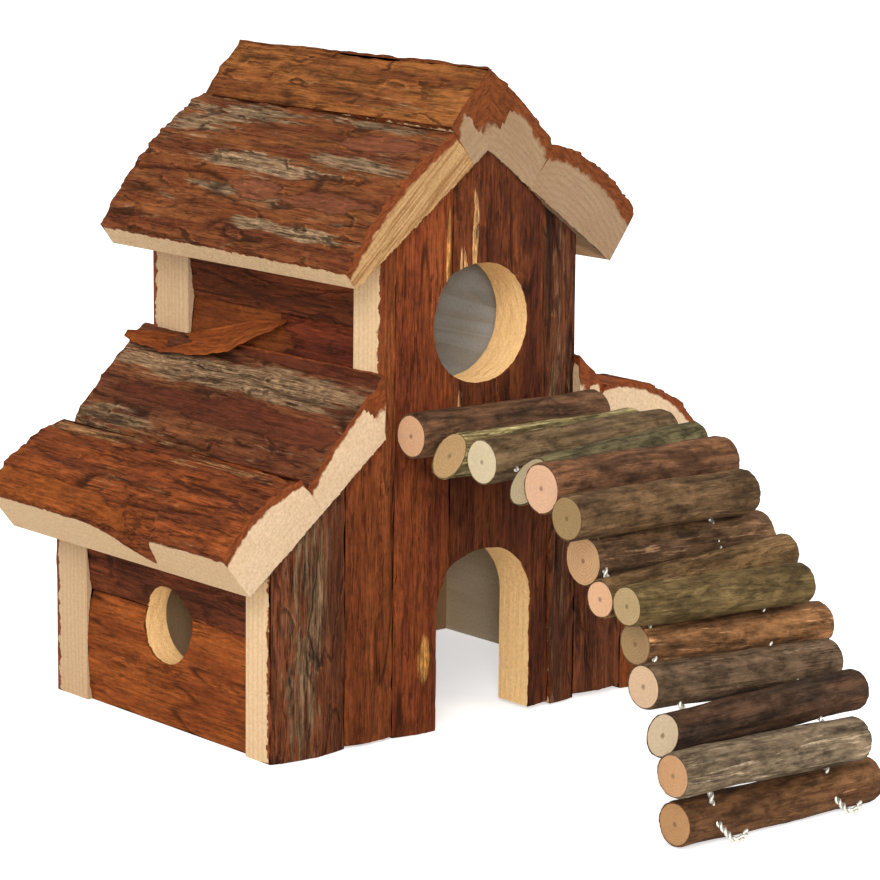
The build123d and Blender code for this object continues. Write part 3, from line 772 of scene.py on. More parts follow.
# peeled zones, in the same form
roof_peels = {
    "tower_roof_left_slab_1": ((-0.9, 0.55, 0.5, 0.25, 0.9),),
    "tower_roof_left_slab_2": ((0.18, 0.2, 0.1, 0.18, 0.9), (0.63, 0.3, 0.1, 0.45, 0.6)),
    "tower_roof_right_slab_2": ((0.6, 0.3, 0.2, 0.3, 0.8),),
    "wing_roof_left_slab_1": ((0.45, 0.4, 0.2, 0.55, 1.0), (-0.32, 0.28, 0.12, 0.42, 1.0)),
    "wing_roof_left_slab_2": ((0.85, 0.8, 0.22, 0.5, 0.9),),
    "wing_roof_right_slab_2": ((0.2, 0.7, 0.15, 0.3, 0.8),),
}
# where the bark dips over an eave: place along from the front and half length in shares, depth share,
# and reach in millimetres
eave_wanes = {"wing_roof_left_slab_2": (0.35, 0.13, 0.72, 6)}
# how much thinner a slab is in front and thicker at the rear
tapers = {"tower_roof_left_slab_2": 0.2}
print("weathered patches", sum(map(len, roof_patches.values())))
print("peeled zones", sum(map(len, roof_peels.values())))


# %% The roofs
def roof_slope(name, side, top_x, top_z, rise, reach, shares, gap, seed):
    """The two slabs of one slope."""
    angle = math.atan(rise)
    down = np.array([side * math.cos(angle), 0, -math.sin(angle)])
    out = np.array([side * math.sin(angle), 0, math.cos(angle)])
    front = np.array([side * top_x, FRONT_FACE - FRONT_OVERHANG + HOUSE_Y, top_z])
    done = 0.0
    for number, (width_share, upper, crown, crown_share, lower) in enumerate(shares):
        width = width_share * reach / math.cos(angle)
        # the top slab's crown was drawn with stock beyond the upright cut
        stock = ROOF_SLAB if number == 0 else 0
        arc = crowned(width + stock, upper * ROOF_SLAB, crown * ROOF_SLAB,
                      (stock + crown_share * width) / (width + stock), lower * ROOF_SLAB)
        node = f"{name}_slab_{number + 1}"
        dip_at, dip_half, dip_depth, dip_reach = eave_wanes.get(node, (0, 1, 0, 1))
        taper = tapers.get(node, 0)

        def thickness(a, l):
            behind = l / ROOF_LENGTH - dip_at
            # the dip ends steeply towards the front and slowly towards the rear
            dip = np.exp(-(behind / np.where(behind > 0, dip_half, dip_half * 0.2)) ** 2)
            dip = dip * np.exp(-np.maximum(width - a, 0) / (dip_reach * MM))
            return arc(a + stock, l) * (1 - dip_depth * dip) * (1 + taper * (l / ROOF_LENGTH - 0.5))

        log = Log(front + down * done, down, (0, 1, 0), out)
        mesh = unit_slab(width, ROOF_LENGTH)
        u, v, w = points_of(mesh).T
        deep = w * thickness(u * width, v * ROOF_LENGTH)
        lean = (gap / math.cos(angle) - math.tan(angle) * deep) if number == 0 else 0 * deep
        set_points(mesh, log.place(u * width + (1 - u) * lean, v * ROOF_LENGTH, deep))
        bark_name, end = roof_looks[node]
        dress(node, mesh, log, width, ROOF_LENGTH, thickness, (barks[bark_name], end), seed + number,
              ragged=True, patches=roof_patches.get(node, ()), peels=roof_peels.get(node, ()))
        done += width


WING_GAP = 0.5 * MM
for name, side, shares, seed in (("left", -1, tower_left_shares, 1), ("right", 1, tower_right_shares, 3)):
    roof_slope(f"tower_roof_{name}", side, 0, APEX, TOWER_RISE, TOWER_REACH, shares, 0, seed)
for name, side, shares, seed in (("left", -1, wing_left_shares, 5), ("right", 1, wing_right_shares, 7)):
    roof_slope(f"wing_roof_{name}", side, HALF_TOWER, SHOULDER, WING_RISE, WING_REACH, shares, WING_GAP, seed)
print("roof slabs", len(roof_looks))

# %% [markdown]
# ## The loose sheet of bark
# At the foot of the tower's left side a sheet of bark has come loose and flares out over the wing's
# roof. It could be sculpted by hand, but a thin grid, thickened, is easier to change: a table of its rims
# gives it its curl from rear to front.

# %% The loose sheet
# place along from the rear, lower rim's height over the roof's foot and how far that flares out, upper
# edge's height and how far that stands off the wall
sheet_shares = (
    (0.0, 0.25, 1.0, 0.275, 0.9), (0.07, 0.227, 1.0, 0.282, 0.8), (0.29, 0.206, 1.0, 0.286, 0.1),
    (0.54, 0.23, 0.9, 0.36, -0.1), (0.69, 0.268, 0.6, 0.4, -0.1), (0.79, 0.33, 0.3, 0.43, -0.1),
    (0.94, 0.405, 0.1, 0.45, -0.1), (1.0, 0.449, 0.0, 0.46, -0.1),
)
SHEET_LENGTH, SHEET_STEP, SHEET_FLARE = 92 * MM, 80 * MM, 10 * MM
SHEET_WIDTH, SHEET_THICKNESS = 14 * MM, 1.3 * MM
SHEET_START = REAR_FACE + REAR_OVERHANG - 1 * MM
SHEET_WAVE, SHEET_FRAY = 0.5 * MM, 0.7 * MM


def loose_bark():
    """A sheet of bark that has come loose from the tower's side and flares out over the wing's roof."""
    bm = bmesh.new()
    bmesh.ops.create_grid(bm, x_segments=90, y_segments=24, size=0.5)
    bmesh.ops.solidify(bm, geom=bm.verts[:] + bm.edges[:] + bm.faces[:], thickness=0.1)
    mesh = closed_mesh(bm, "loose_bark")
    u, v, w = points_of(mesh).T
    u, v, w = u + 0.5, v + 0.5, (w - w.min()) / (w.max() - w.min())
    place, rim, flare, upper, off = np.array(sheet_shares).T
    high = SHOULDER + SHEET_STEP * np.interp(u, place, upper)
    low = SHOULDER + SHEET_STEP * np.interp(u, place, rim)
    stand_off = np.interp(u, place, off)
    out = SHEET_FLARE * (stand_off + (np.interp(u, place, flare) - stand_off) * v ** 2)
    wavy = SHEET_WAVE * noise(u * 9, v * 2, 0 * u, 4)
    frayed = SHEET_FRAY * noise(u * 22, 0 * u, 0 * u, 6) * v
    x = -HALF_TOWER - out - wavy * v - w * SHEET_THICKNESS * (0.25 + 0.75 * v)
    y = SHEET_START - u * SHEET_LENGTH
    z = high + (low - high) * v + frayed
    set_points(mesh, np.stack([x, y + HOUSE_Y, z], axis=-1))
    mesh.materials.append(barks["orange_side_bark"])
    write_attribute(mesh, "grain", np.stack([v * SHEET_WIDTH, u * SHEET_LENGTH + 0.9, w * MM], axis=-1))
    for name in ("crack", "level", "patch", "peeled"):
        write_attribute(mesh, name, 0 * u)
    mesh.polygons.foreach_set("use_smooth", np.ones(len(mesh.polygons), bool))
    piece = in_scene("loose_bark", mesh)
    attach(piece, "house")
    print("loose bark from z", round(z.min() / MM, 1), "to", round(z.max() / MM, 1))


loose_bark()

# %% [markdown]
# ## Cutters for the openings
# The door is a rounded arch and the windows are round, and each is sawn across the seam of two boards.
# A hole could be inset into one board's grid, but not across a seam, so one closed cutter cuts both. Its
# wall is moved a little in and out, so that the cut shows the chatter of the saw.

# %% Sizes of the openings
DOOR_RADIUS, DOOR_HEIGHT, DOOR_X = 23.75 * MM, 69.5 * MM, 3 * MM
WINDOW_RADIUS, WINDOW_X, WINDOW_Z = 23.25 * MM, -0.5 * MM, 158 * MM
SIDE_RADIUS, SIDE_Y, SIDE_Z = 15.2 * MM, -3.3 * MM, 40.4 * MM
CUT_LENGTH, CUT_BEFORE, CUT_STEP, CUT_STEPS = 90 * MM, 20 * MM, 1 * MM, 50
CHATTER_WIDE, CHATTER_DEEP = 5 * MM, 2.2 * MM
WINDOW_CHATTER, DOOR_CHATTER = 0.28 * MM, 0.25 * MM
CUTTER_SIDES, CUTTER_RINGS = 112, 45
print("door", round(2 * DOOR_RADIUS / MM, 1), "by", round(DOOR_HEIGHT / MM, 1), "mm")


# %% The round cutter
def as_cutter(mesh):
    """A cutter object, with the slots that the boards have, so the cut gets the openings' own wood."""
    for look in (barks["wall_bark"], sawn_wood, opening_wood):
        mesh.materials.append(look)
    return in_scene(mesh.name, mesh)


def round_cutter(name, radius, centre, along_x):
    """A closed cylinder through a wall."""
    bm = bmesh.new()
    bmesh.ops.create_cone(bm, cap_ends=True, segments=CUTTER_SIDES, radius1=radius, radius2=radius,
                          depth=CUT_LENGTH)
    lengthwise = [edge for edge in bm.edges if abs(edge.verts[0].co.z - edge.verts[1].co.z) > 1 * MM]
    bmesh.ops.subdivide_edges(bm, edges=lengthwise, cuts=CUTTER_RINGS)
    for vert in bm.verts:
        x, y, z = vert.co
        chatter = float(noise(x / CHATTER_WIDE, y / CHATTER_WIDE, z / CHATTER_DEEP, len(name)))
        scale = 1 + WINDOW_CHATTER * chatter / radius
        vert.co = (x * scale, y * scale, z)
    mark(bm.faces, OPENING)
    turn = Matrix.Rotation(math.radians(90), 4, "X")
    if along_x:
        turn = Matrix.Rotation(math.radians(90), 4, "Y") @ Matrix.Rotation(math.radians(90), 4, "Z")
    bmesh.ops.transform(bm, matrix=Matrix.Translation(centre) @ turn, verts=bm.verts)
    return as_cutter(closed_mesh(bm, name))


window = round_cutter("window_cutter", WINDOW_RADIUS, (WINDOW_X, FRONT_FACE + HOUSE_Y, WINDOW_Z), False)
side_window = round_cutter("side_window", SIDE_RADIUS, (-HALF_HOUSE, SIDE_Y + HOUSE_Y, SIDE_Z), True)
print("round cutters' faces", *(len(cutter.data.polygons) for cutter in (window, side_window)))


# %% The door cutter
def door_cutter(arch_steps=40):
    """Jambs and arch from one outline, extruded through the wall."""
    spring = DOOR_HEIGHT - DOOR_RADIUS
    bm = bmesh.new()
    outline = [bm.verts.new((DOOR_X - DOOR_RADIUS, 0, -CUT_BEFORE))]
    for k in range(arch_steps + 1):
        angle = math.pi * (1 - k / arch_steps)
        corner = (DOOR_X + DOOR_RADIUS * math.cos(angle), 0, spring + DOOR_RADIUS * math.sin(angle))
        outline.append(bm.verts.new(corner))
    outline.append(bm.verts.new((DOOR_X + DOOR_RADIUS, 0, -CUT_BEFORE)))
    face = bm.faces.new(outline)
    bmesh.ops.translate(bm, verts=bm.verts, vec=(0, FRONT_FACE + HOUSE_Y - CUT_BEFORE, 0))
    side = face
    for _ in range(CUT_STEPS):
        grown = bmesh.ops.extrude_face_region(bm, geom=[side])["geom"]
        bmesh.ops.translate(bm, verts=only(grown, bmesh.types.BMVert), vec=(0, CUT_STEP, 0))
        old, side = side, only(grown, bmesh.types.BMFace)[0]
        if old is not face:
            bmesh.ops.delete(bm, geom=[old], context="FACES_ONLY")
    mark(bm.faces, OPENING)
    mesh = closed_mesh(bm, "door_cutter")
    co = points_of(mesh)
    away = (co - np.array([DOOR_X, 0, spring])) * (1, 0, 1)
    away[:, 2] = np.maximum(away[:, 2], 0)
    reach = np.maximum(np.linalg.norm(away, axis=1), 1e-6)
    x, y, z = co.T
    chatter = DOOR_CHATTER * noise(x / CHATTER_WIDE, y / CHATTER_DEEP, z / CHATTER_WIDE, 3)
    set_points(mesh, co + away / reach[:, None] * chatter[:, None])
    return as_cutter(mesh)


door = door_cutter()
print("door cutter's faces", len(door.data.polygons))

# %% [markdown]
# ## Upright boards
# The front and the rear wall are rows of upright boards, cut to the outline of the house. The outline
# steps up where the tower begins. One panel with grooves would be simpler, but each board has its own
# crown and its own bark. Two columns of the grid are brought together at the step, so that it becomes
# the tower's sawn edge.

# %% The walls' tables
# each seam's place across the wall, at the foot and at the apex
front_seam_shares = ((0.177, 0.177), (0.295, 0.295), (0.435, 0.435), (0.698, 0.645), (0.766, 0.766),
                     (0.895, 0.895))
rear_seam_shares = ((0.16, 0.16), (0.33, 0.32), (0.52, 0.53), (0.69, 0.69), (0.84, 0.84))
# how far each board ends above the ground
front_lift_shares = (0.0, 0.06, 0.0, 0.1, 0.03, 0.12, 0.0)
rear_lift_shares = (0.0, 0.08, 0.0, 0.05, 0.1, 0.0)
# each board's bark, how rough it is, and its weathered patches
wall_looks = {
    "front_board_1": ("grey_wall_bark", 0.8, ((0.45, 0.55, 0.35, 0.7, 0.6),)),
    "front_board_3": ("ochre_wall_bark", 0.5, (
        (0.49, 0.138, 0.15, 0.06, 1.15), (0.9, 0.83, 0.05, 0.12, 1.15), (0.3, 0.4, 0.1, 0.1, 0.3))),
    "front_board_4": ("worn_wall_bark", 0.6, (
        (0.17, 0.85, 0.035, 0.12, 1.15), (0.07, 0.8, 0.06, 0.05, 0.75), (0.1, 0.57, 0.1, 0.03, 0.6))),
    "front_board_5": ("dark_wall_bark", 0.6, ((0.5, 0.5, 0.3, 0.6, 0.35),)),
    "front_board_6": ("grey_wall_bark", 0.6, ()),
    "rear_board_2": ("grey_wall_bark", 0.7, ((0.4, 0.5, 0.3, 0.5, 0.5),)),
    "rear_board_5": ("dark_wall_bark", 0.6, ()),
}
PLAIN_WALL = ("wall_bark", 0.5, ())
TALL_GRID, LOW_GRID = 220 * MM, 110 * MM
STEP_WIDTH = 0.02 * MM
print("boards with a look of their own", len(wall_looks))


# %% The outline of the walls
def outline_top(x, in_tower):
    """The height of the house's outline over x, on the tower's side of the step or the wing's."""
    wing = WING_HEIGHT + (HALF_HOUSE - np.abs(x)) * WING_RISE
    tower = TOWER_HEIGHT + (HALF_TOWER - np.abs(x)) * TOWER_RISE
    return np.where(in_tower, tower, wing)


def snap_columns(u, left, right):
    """Moves the two columns beside the tower's edge onto it, and says which columns are the tower's."""
    columns = np.unique(np.round(u, 6))
    x = left + columns * (right - left)
    target = math.copysign(HALF_TOWER, left + right)
    moved, tower = x.copy(), np.abs(x) < HALF_TOWER
    if left < target < right:
        inner, outer = np.flatnonzero(tower), np.flatnonzero(~tower)
        moved[inner[np.argmin(np.abs(x[inner] - target))]] = target
        moved[outer[np.argmin(np.abs(x[outer] - target))]] = target + math.copysign(STEP_WIDTH, target)
    pick = np.searchsorted(columns, np.round(u, 6))
    return (moved[pick] - left) / (right - left), tower[pick]


print("the wall's top in the middle", round(float(outline_top(0, True)) / MM, 1), "mm")


# %% The front and rear walls
def upright_boards(name, seams, lifts, inner, edge, outward, wood_finish, seed, cutters):
    """A wall of upright boards. Its seams may slant: each has a place at the foot and one at the apex."""
    seams = ((0, 0), *seams, (1, 1))
    foot, head = ([2 * HALF_HOUSE * seam[at] - HALF_HOUSE for seam in seams] for at in (0, 1))
    for number, lift in enumerate(lifts):
        left = min(foot[number], head[number])
        right = max(foot[number + 1], head[number + 1])

        def across_wall(u, z):
            start, end = (foot[n] + (head[n] - foot[n]) * (z / APEX) for n in (number, number + 1))
            return start + u * (end - start)

        width = right - left
        thickness = crowned(width, edge, edge + width * WALL_CROWN_SHARE, 0.5, edge)
        low = lift * FRONT_EDGE
        log = Log((left, inner + HOUSE_Y, 0), (1, 0, 0), (0, 0, 1), (0, outward, 0))
        mesh = unit_slab(width, TALL_GRID if abs(left + right) < 2 * HALF_TOWER else LOW_GRID)
        u, v, w = points_of(mesh).T
        u, in_tower = snap_columns(u, left, right)
        # a slanted seam moves the top's place across, so the top is found in a few rounds
        x = left + u * width
        for _ in range(3):
            top = outline_top(x, in_tower)
            x = across_wall(u, top)
        z = low + v * (top - low)
        a = across_wall(u, z) - left
        set_points(mesh, log.place(a, z, w * thickness(a, z)))
        node = f"{name}_board_{number + 1}"
        bark_name, rough, patches = wall_looks.get(node, PLAIN_WALL)
        dress(node, mesh, log, width, float(top.max()), thickness, (barks[bark_name], wood_finish),
              seed + number, rough=rough, wane=0.7, patches=patches, cutters=cutters.get(number + 1, ()))


openings = {3: (door, window), 4: (door, window)}
upright_boards("front", front_seam_shares, front_lift_shares, FRONT_INNER, FRONT_EDGE, -1, sawn_wood, 20,
               openings)
upright_boards("rear", rear_seam_shares, rear_lift_shares, REAR_INNER, REAR_EDGE, 1, rear_wood, 30, {})
print("wall boards", len(front_lift_shares) + len(rear_lift_shares))

# %% [markdown]
# ## Level boards
# The sides of the wings and of the tower are two level boards each, between the walls. The upper one
# is bevelled to the roof's slope. Two points of a cube could be moved for that; here it is one more term
# in the board's mapping, so the bark's grid stays even.

# %% The side boards
side_looks = {
    "left_wing_upper_board": "dark_side_bark", "left_wing_lower_board": "orange_side_bark",
    "left_tower_upper_board": "dark_side_bark", "left_tower_lower_board": "red_side_bark",
    "right_tower_lower_board": "dark_side_bark",
}
side_peels = {"left_tower_lower_board": ((0.85, 0.9, 1.0, 0.58, 1.1),)}
UPPER_STOCK = 30 * MM


def level_boards(name, side, half, bottom, wall_top, seam_share, rise, inside, seed, cutters=()):
    """The lower and the upper board of one side, which meet at a share of the side's height."""
    inner = half - SIDE_CROWN
    room = REAR_INNER - FRONT_INNER
    seam = bottom + (wall_top - bottom) * seam_share
    for place, low, high in (("lower", bottom, seam), ("upper", seam, wall_top)):
        width = high - low
        stock = width + (UPPER_STOCK if place == "upper" else 0)
        thickness = crowned(stock, SIDE_EDGE, SIDE_CROWN, width / stock / 2, SIDE_EDGE)
        log = Log((side * inner, FRONT_INNER + HOUSE_Y, low), (0, 0, 1), (0, 1, 0), (side, 0, 0))
        mesh = unit_slab(width, room)
        u, v, w = points_of(mesh).T
        deep = w * thickness(u * width, 0)
        top = high + (SIDE_CROWN - deep) * rise if place == "upper" else high + 0 * deep
        a = u * (top - low)
        set_points(mesh, log.place(a, v * room, w * thickness(a, 0)))
        node = f"{name}_{place}_board"
        looks = (barks[side_looks.get(node, "wall_bark")], inside)
        dress(node, mesh, log, width, room, thickness, looks, seed + (place == "upper"), rough=0.6,
              peels=side_peels.get(node, ()), cutters=cutters)


level_boards("left_wing", -1, HALF_HOUSE, 0, WING_HEIGHT, 0.576, WING_RISE, room_wood_painted_light, 40, (side_window,))
level_boards("right_wing", 1, HALF_HOUSE, 0, WING_HEIGHT, 0.29, WING_RISE, room_wood_painted_light, 43)
level_boards("left_tower", -1, HALF_TOWER, FLOOR_TOP, TOWER_HEIGHT, 0.6, TOWER_RISE, grey_room_wood_painted_light, 46)
level_boards("right_tower", 1, HALF_TOWER, FLOOR_TOP, TOWER_HEIGHT, 0.42, TOWER_RISE, grey_room_wood_painted_light, 49)
for cutter in (door, window, side_window):
    bpy.data.objects.remove(cutter)

# %% [markdown]
# ## The upper floor
# The upper floor is a plain planed board between the walls. A cube scaled to its node and bevelled a
# little is all that it needs.

# %% The floor board
CHAMFER = 0.4 * MM
DEEP_IN_WOOD = 0.05


def planed_board(node):
    """A plain planed board with its long edges eased, in the place of its node."""
    low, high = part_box(node)
    bm = bmesh.new()
    bmesh.ops.create_cube(bm, size=1.0)
    bmesh.ops.scale(bm, verts=bm.verts, vec=high - low)
    bmesh.ops.translate(bm, verts=bm.verts, vec=(low + high) / 2)
    bmesh.ops.bevel(bm, geom=bm.edges[:], offset=CHAMFER, affect="EDGES", segments=2, profile=0.5,
                    material=-1)
    mesh = closed_mesh(bm, node)
    mesh.materials.append(room_wood_painted_light)
    co = points_of(mesh)
    write_attribute(mesh, "grain", co - np.array(low))
    write_attribute(mesh, "skin", np.full(len(co), DEEP_IN_WOOD))
    write_attribute(mesh, "cut_end", np.zeros(len(co)))
    piece = in_scene(node + "_planed", mesh)
    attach(piece, "house")
    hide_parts(node)
    print("floor board", [round(side / MM, 1) for side in high - low], "mm")


planed_board("upper_floor_board")

# %% [markdown]
# ## The rungs
# Fourteen natural sticks, no two alike. A stick starts as a unit cylinder, is divided along its length,
# and its ends are inset into rings. The mapping gives it its axis, a slight crook, knots and bark
# relief. A bevelled curve would be quicker, but its ends take no rings and no slant. Three sticks are
# sawn at a slant, which is a lean of their left end.

# %% Rung looks
# bark, second bark tone, sawn end, end's late wood, relief, flake cover
rung_looks = (
    ((112, 78, 54), (90, 64, 46), (204, 160, 124), (188, 142, 106), 0.6, 0.05),
    ((138, 124, 82), (104, 88, 56), (180, 146, 102), (146, 108, 68), 0.9, 0.3),
    ((98, 76, 52), (112, 90, 64), (204, 188, 154), (188, 168, 132), 0.6, 0.05),
    ((108, 98, 68), (86, 76, 52), (172, 154, 122), (144, 122, 88), 0.6, 0.05),
    ((124, 84, 56), (98, 68, 48), (208, 166, 134), (192, 146, 112), 0.5, 0.0),
    ((114, 86, 58), (90, 68, 46), (150, 124, 84), (122, 96, 60), 0.7, 0.05),
    ((114, 84, 58), (82, 60, 42), (196, 154, 112), (132, 94, 60), 1.1, 0.15),
    ((118, 90, 58), (90, 66, 42), (210, 164, 128), (192, 144, 106), 0.7, 0.15),
    ((110, 90, 56), (90, 72, 44), (168, 144, 104), (142, 114, 74), 0.5, 0.0),
    ((146, 102, 64), (104, 72, 46), (158, 128, 90), (124, 96, 62), 0.9, 0.15),
    ((104, 82, 62), (84, 66, 48), (200, 168, 136), (184, 148, 114), 0.4, 0.0),
    ((80, 56, 40), (58, 44, 34), (190, 168, 138), (172, 148, 116), 0.6, -0.1),
    ((120, 102, 80), (96, 80, 62), (186, 142, 102), (166, 122, 82), 0.9, 0.2),
    ((118, 82, 52), (90, 60, 38), (174, 132, 90), (156, 112, 72), 0.8, 0.05),
)
# tilt and yaw of each rung in degrees, as in the solids
rung_turns = ((0, 0), (0, -0.5), (0, 0), (3.5, 1), (-1, 0.5), (-1.5, -0.5), (-1, 0.5), (2.5, 1),
              (-3.5, 0.5), (-3.5, -0.5), (-3, 0), (0.5, -2), (-1.5, 0), (0, -0.5))
slanted_ends = {2: 28, 4: 35, 12: 14}
# knots: rung, place along from the left, angle round it in degrees, radius and height in millimetres
knots = (
    (7, 0.42, 120, 3.2, 1.6), (7, 0.86, 135, 4.4, 2.6), (13, 0.3, 195, 2.8, 1.2), (13, 0.93, 200, 3.0, 2.0),
    (14, 0.22, 165, 3.0, 1.6), (14, 0.72, 160, 2.6, 1.4), (14, 0.93, 180, 3.0, 1.6), (10, 0.6, 150, 2.8, 1.2),
    (10, 0.93, 160, 3.2, 1.2), (6, 0.3, 150, 2.6, 1.0), (8, 0.7, 150, 2.4, 0.9), (9, 0.75, 150, 2.2, 0.8),
    (5, 0.55, 120, 2.2, 0.8), (3, 0.35, 100, 2.4, 0.9),
)
RUNG_RADIUS = 17 * MM / 2
# each rung's radius as a share of the usual one
radius_shares = (1.03, 0.98, 1.05, 0.96, 1.14, 1.03, 1.16, 0.89, 0.94, 0.98, 0.98, 0.96, 1.01, 0.98)
# the two rungs that nearly touch when the ladder is bent are a little slimmer
slim_shares = {12: 0.955, 13: 0.955}
RUNGS = len(rung_looks)
print("rungs", RUNGS, "knots", len(knots))

# %% A stick
END_INSETS = (0.04, 0.05, 0.12, 0.2, 0.2, 0.2, 0.12)


def unit_stick(length):
    """A closed unit cylinder along z, divided along it, with ringed ends."""
    bm = bmesh.new()
    around = 72
    bmesh.ops.create_cone(bm, cap_ends=True, segments=around, radius1=1, radius2=1, depth=1)
    bmesh.ops.translate(bm, verts=bm.verts, vec=(0, 0, 0.5))
    lengthwise = [edge for edge in bm.edges if abs(edge.verts[0].co.z - edge.verts[1].co.z) > 0.5]
    bmesh.ops.subdivide_edges(bm, edges=lengthwise, cuts=round(length / CELL))
    caps = [face for face in bm.faces if len(face.verts) == around]
    mark(bm.faces, BARK)
    for inset in END_INSETS:
        bmesh.ops.inset_individual(bm, faces=caps, thickness=inset, use_even_offset=True)
    for face in bm.faces:
        heights = [vert.co.z for vert in face.verts]
        if max(heights) < 1e-5 or min(heights) > 1 - 1e-5:
            face.material_index = SAWN
    return to_mesh(bm, "stick")


def bulges(number, radius, length, along, angle):
    """How far a stick's skin stands out: two slow swells, and its knots with a dimple in each."""
    sy, sz = np.cos(angle), np.sin(angle)
    bulge = 0.06 * radius * noise(along / (24 * MM), 0 * along, 0 * along, number)
    bulge = bulge + 0.03 * radius * noise(sy * 0.8, sz * 0.8, along / (30 * MM), number + 5)
    for rung, place, degrees, size, rise in knots:
        if rung == number:
            turned = (angle - math.radians(degrees) + math.pi) % (2 * math.pi) - math.pi
            near = np.hypot(turned * radius, (along - place * length) * 0.8) / (size * MM)
            bulge = bulge + rise * MM * np.exp(-near ** 2) * (1 - 0.45 * np.exp(-(near * 2.4) ** 2))
    return bulge


print("rings on a sawn end", len(END_INSETS))

# %% The finishes of a rung
def rung_finishes(number):
    """The bark and the sawn end of a rung."""
    base, second, end, late, _, cover = rung_looks[number - 1]
    # deep is the colour of the painted shade in the bark's cracks and at the feet of its plates
    deep = (c * 0.45 for c in second)
    flake = (min(255, c * 1.25 + 18) for c in base)
    skin = finish(f"rung_{number:02d}_bark", bark_tree, 0.7, Base=paint(*base), Second=paint(*second),
                  Deep=paint(*deep), Flake=paint(*flake), Cover=cover, Plates=0.4, Fibre=0.5, Mottle=1.25)
    cut = finish(f"rung_{number:02d}_end", wood_tree, 0.4, Early=paint(*end), Late=paint(*late),
                 Rim=paint(*second), Rim_Depth=0.4, Pith=0.6, Ring_Width=1.3, Pith_Depth=0.0,
                 Saw_Marks=0.35, Rings=0.3)
    return skin, cut


print("finishes to make for the rungs", 2 * RUNGS)

# %% The rungs
CROOK, END_WEAR, END_WEAR_REACH = 0.5 * MM, 0.35 * MM, 0.5 * MM
END_ROUGH, UNDER_BARK = 0.12 * MM, 0.2 * MM


def make_rung(number):
    """A natural stick in the place of its node."""
    node = f"ladder_rung_{number:02d}"
    low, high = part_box(node)
    radius, length = RUNG_RADIUS * radius_shares[number - 1], high.x - low.x
    rough = rung_looks[number - 1][4]
    mesh = unit_stick(length)
    px, py, v = points_of(mesh).T
    share, angle = np.hypot(px, py), np.arctan2(py, px)
    sy, sz = np.cos(angle), np.sin(angle)
    on_bark = bark_points(mesh)
    # a slant takes more off the top of the left end; its lean fades out along the stick
    slant = math.tan(math.radians(slanted_ends.get(number, 0)))
    along = v * length + (1 - v) * slant * radius * (1 + sz * share)
    lift, crack, level = bark_relief(radius * sy * 1.3, along * 0.8, radius * sz * 1.3, 60 + number,
                                     0.5 * rough, 0.6)
    end_wear = END_WEAR * np.exp(-np.maximum(np.minimum(along, length - along), 0) / END_WEAR_REACH)
    reach = radius * slim_shares.get(number, 0.985) + bulges(number, radius, length, along, angle)
    reach = (reach + np.where(on_bark, lift, -UNDER_BARK) - end_wear) * share
    tilt, yaw = (math.tan(math.radians(turn)) for turn in rung_turns[number - 1])
    axis = np.array([1, yaw, tilt])
    middle = (np.array(low) + np.array(high)) / 2
    x, y, z = (middle + axis * (low.x - middle[0]) + axis * along[:, None]).T
    x = x + np.where(on_bark, 0, END_ROUGH * noise(sy * share * 9, sz * share * 9, v * 3, number))
    y = y + CROOK * np.sin(3.1 * v + number) + reach * sy
    z = z + CROOK * np.sin(2.3 * v + 2 * number) + reach * sz
    set_points(mesh, np.stack([x, y, z], axis=-1))
    grain = np.stack([share * radius * sy, along + number * 0.13, share * radius * sz], axis=-1)
    write_attribute(mesh, "grain", grain)
    write_attribute(mesh, "crack", np.where(on_bark, crack * 0.8, 0))
    write_attribute(mesh, "level", np.where(on_bark, level, 0))
    write_attribute(mesh, "skin", (1 - share) * radius)
    write_attribute(mesh, "patch", 0 * v)
    write_attribute(mesh, "peeled", 0 * v)
    write_attribute(mesh, "cut_end", np.where(on_bark, 0, 1.0))
    for look in rung_finishes(number):
        mesh.materials.append(look)
    piece = in_scene(node + "_stick", mesh)
    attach(piece, node)
    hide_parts(node)
    return length


lengths = [make_rung(number) for number in range(1, RUNGS + 1)]
print("rungs from", round(min(lengths) / MM, 1), "to", round(max(lengths) / MM, 1), "mm long")

# %% [markdown]
# ## The wires
# Two wires thread all the rungs. Each is a pair of strands twisted together, which shows in the gaps.
# A Screw modifier could wind a straight wire, but this one is bent, so its strands follow a line of
# points. It bends at every gap, so it is made of short lengths, each of which spans one joint.

# %% Twisted strands
STRAND = 1.2 * MM
TWIST = 6 * MM

steel = bpy.data.materials.new("zinc_wire")
steel.use_nodes = True
t = Tree(steel.node_tree)
shader = steel.node_tree.nodes["Principled BSDF"]
dull = t.noise(t.add("ShaderNodeTexCoord", "Object"), 1.2, 1.2)
t.plug(shader.inputs["Base Color"], t.mix(dull, paint(196, 192, 180), paint(232, 228, 216)))
t.plug(shader.inputs["Roughness"], t.ramp(dull, 0.3, 0.7, 0.28, 0.5))
shader.inputs["Metallic"].default_value = 0.85


def strand_mesh(routes, thickness):
    """Round wires along the given points, as one mesh."""
    curve = bpy.data.curves.new("strand", "CURVE")
    curve.dimensions = "3D"
    curve.bevel_depth = thickness / 2
    curve.bevel_resolution = 3
    curve.use_fill_caps = True
    for route in routes:
        spline = curve.splines.new("POLY")
        spline.points.add(len(route) - 1)
        for point, co in zip(spline.points, route):
            point.co = (*co, 1)
    holder = in_scene("strand", curve)
    mesh = bpy.data.meshes.new_from_object(holder.evaluated_get(bpy.context.evaluated_depsgraph_get()))
    bpy.data.objects.remove(holder)
    return mesh


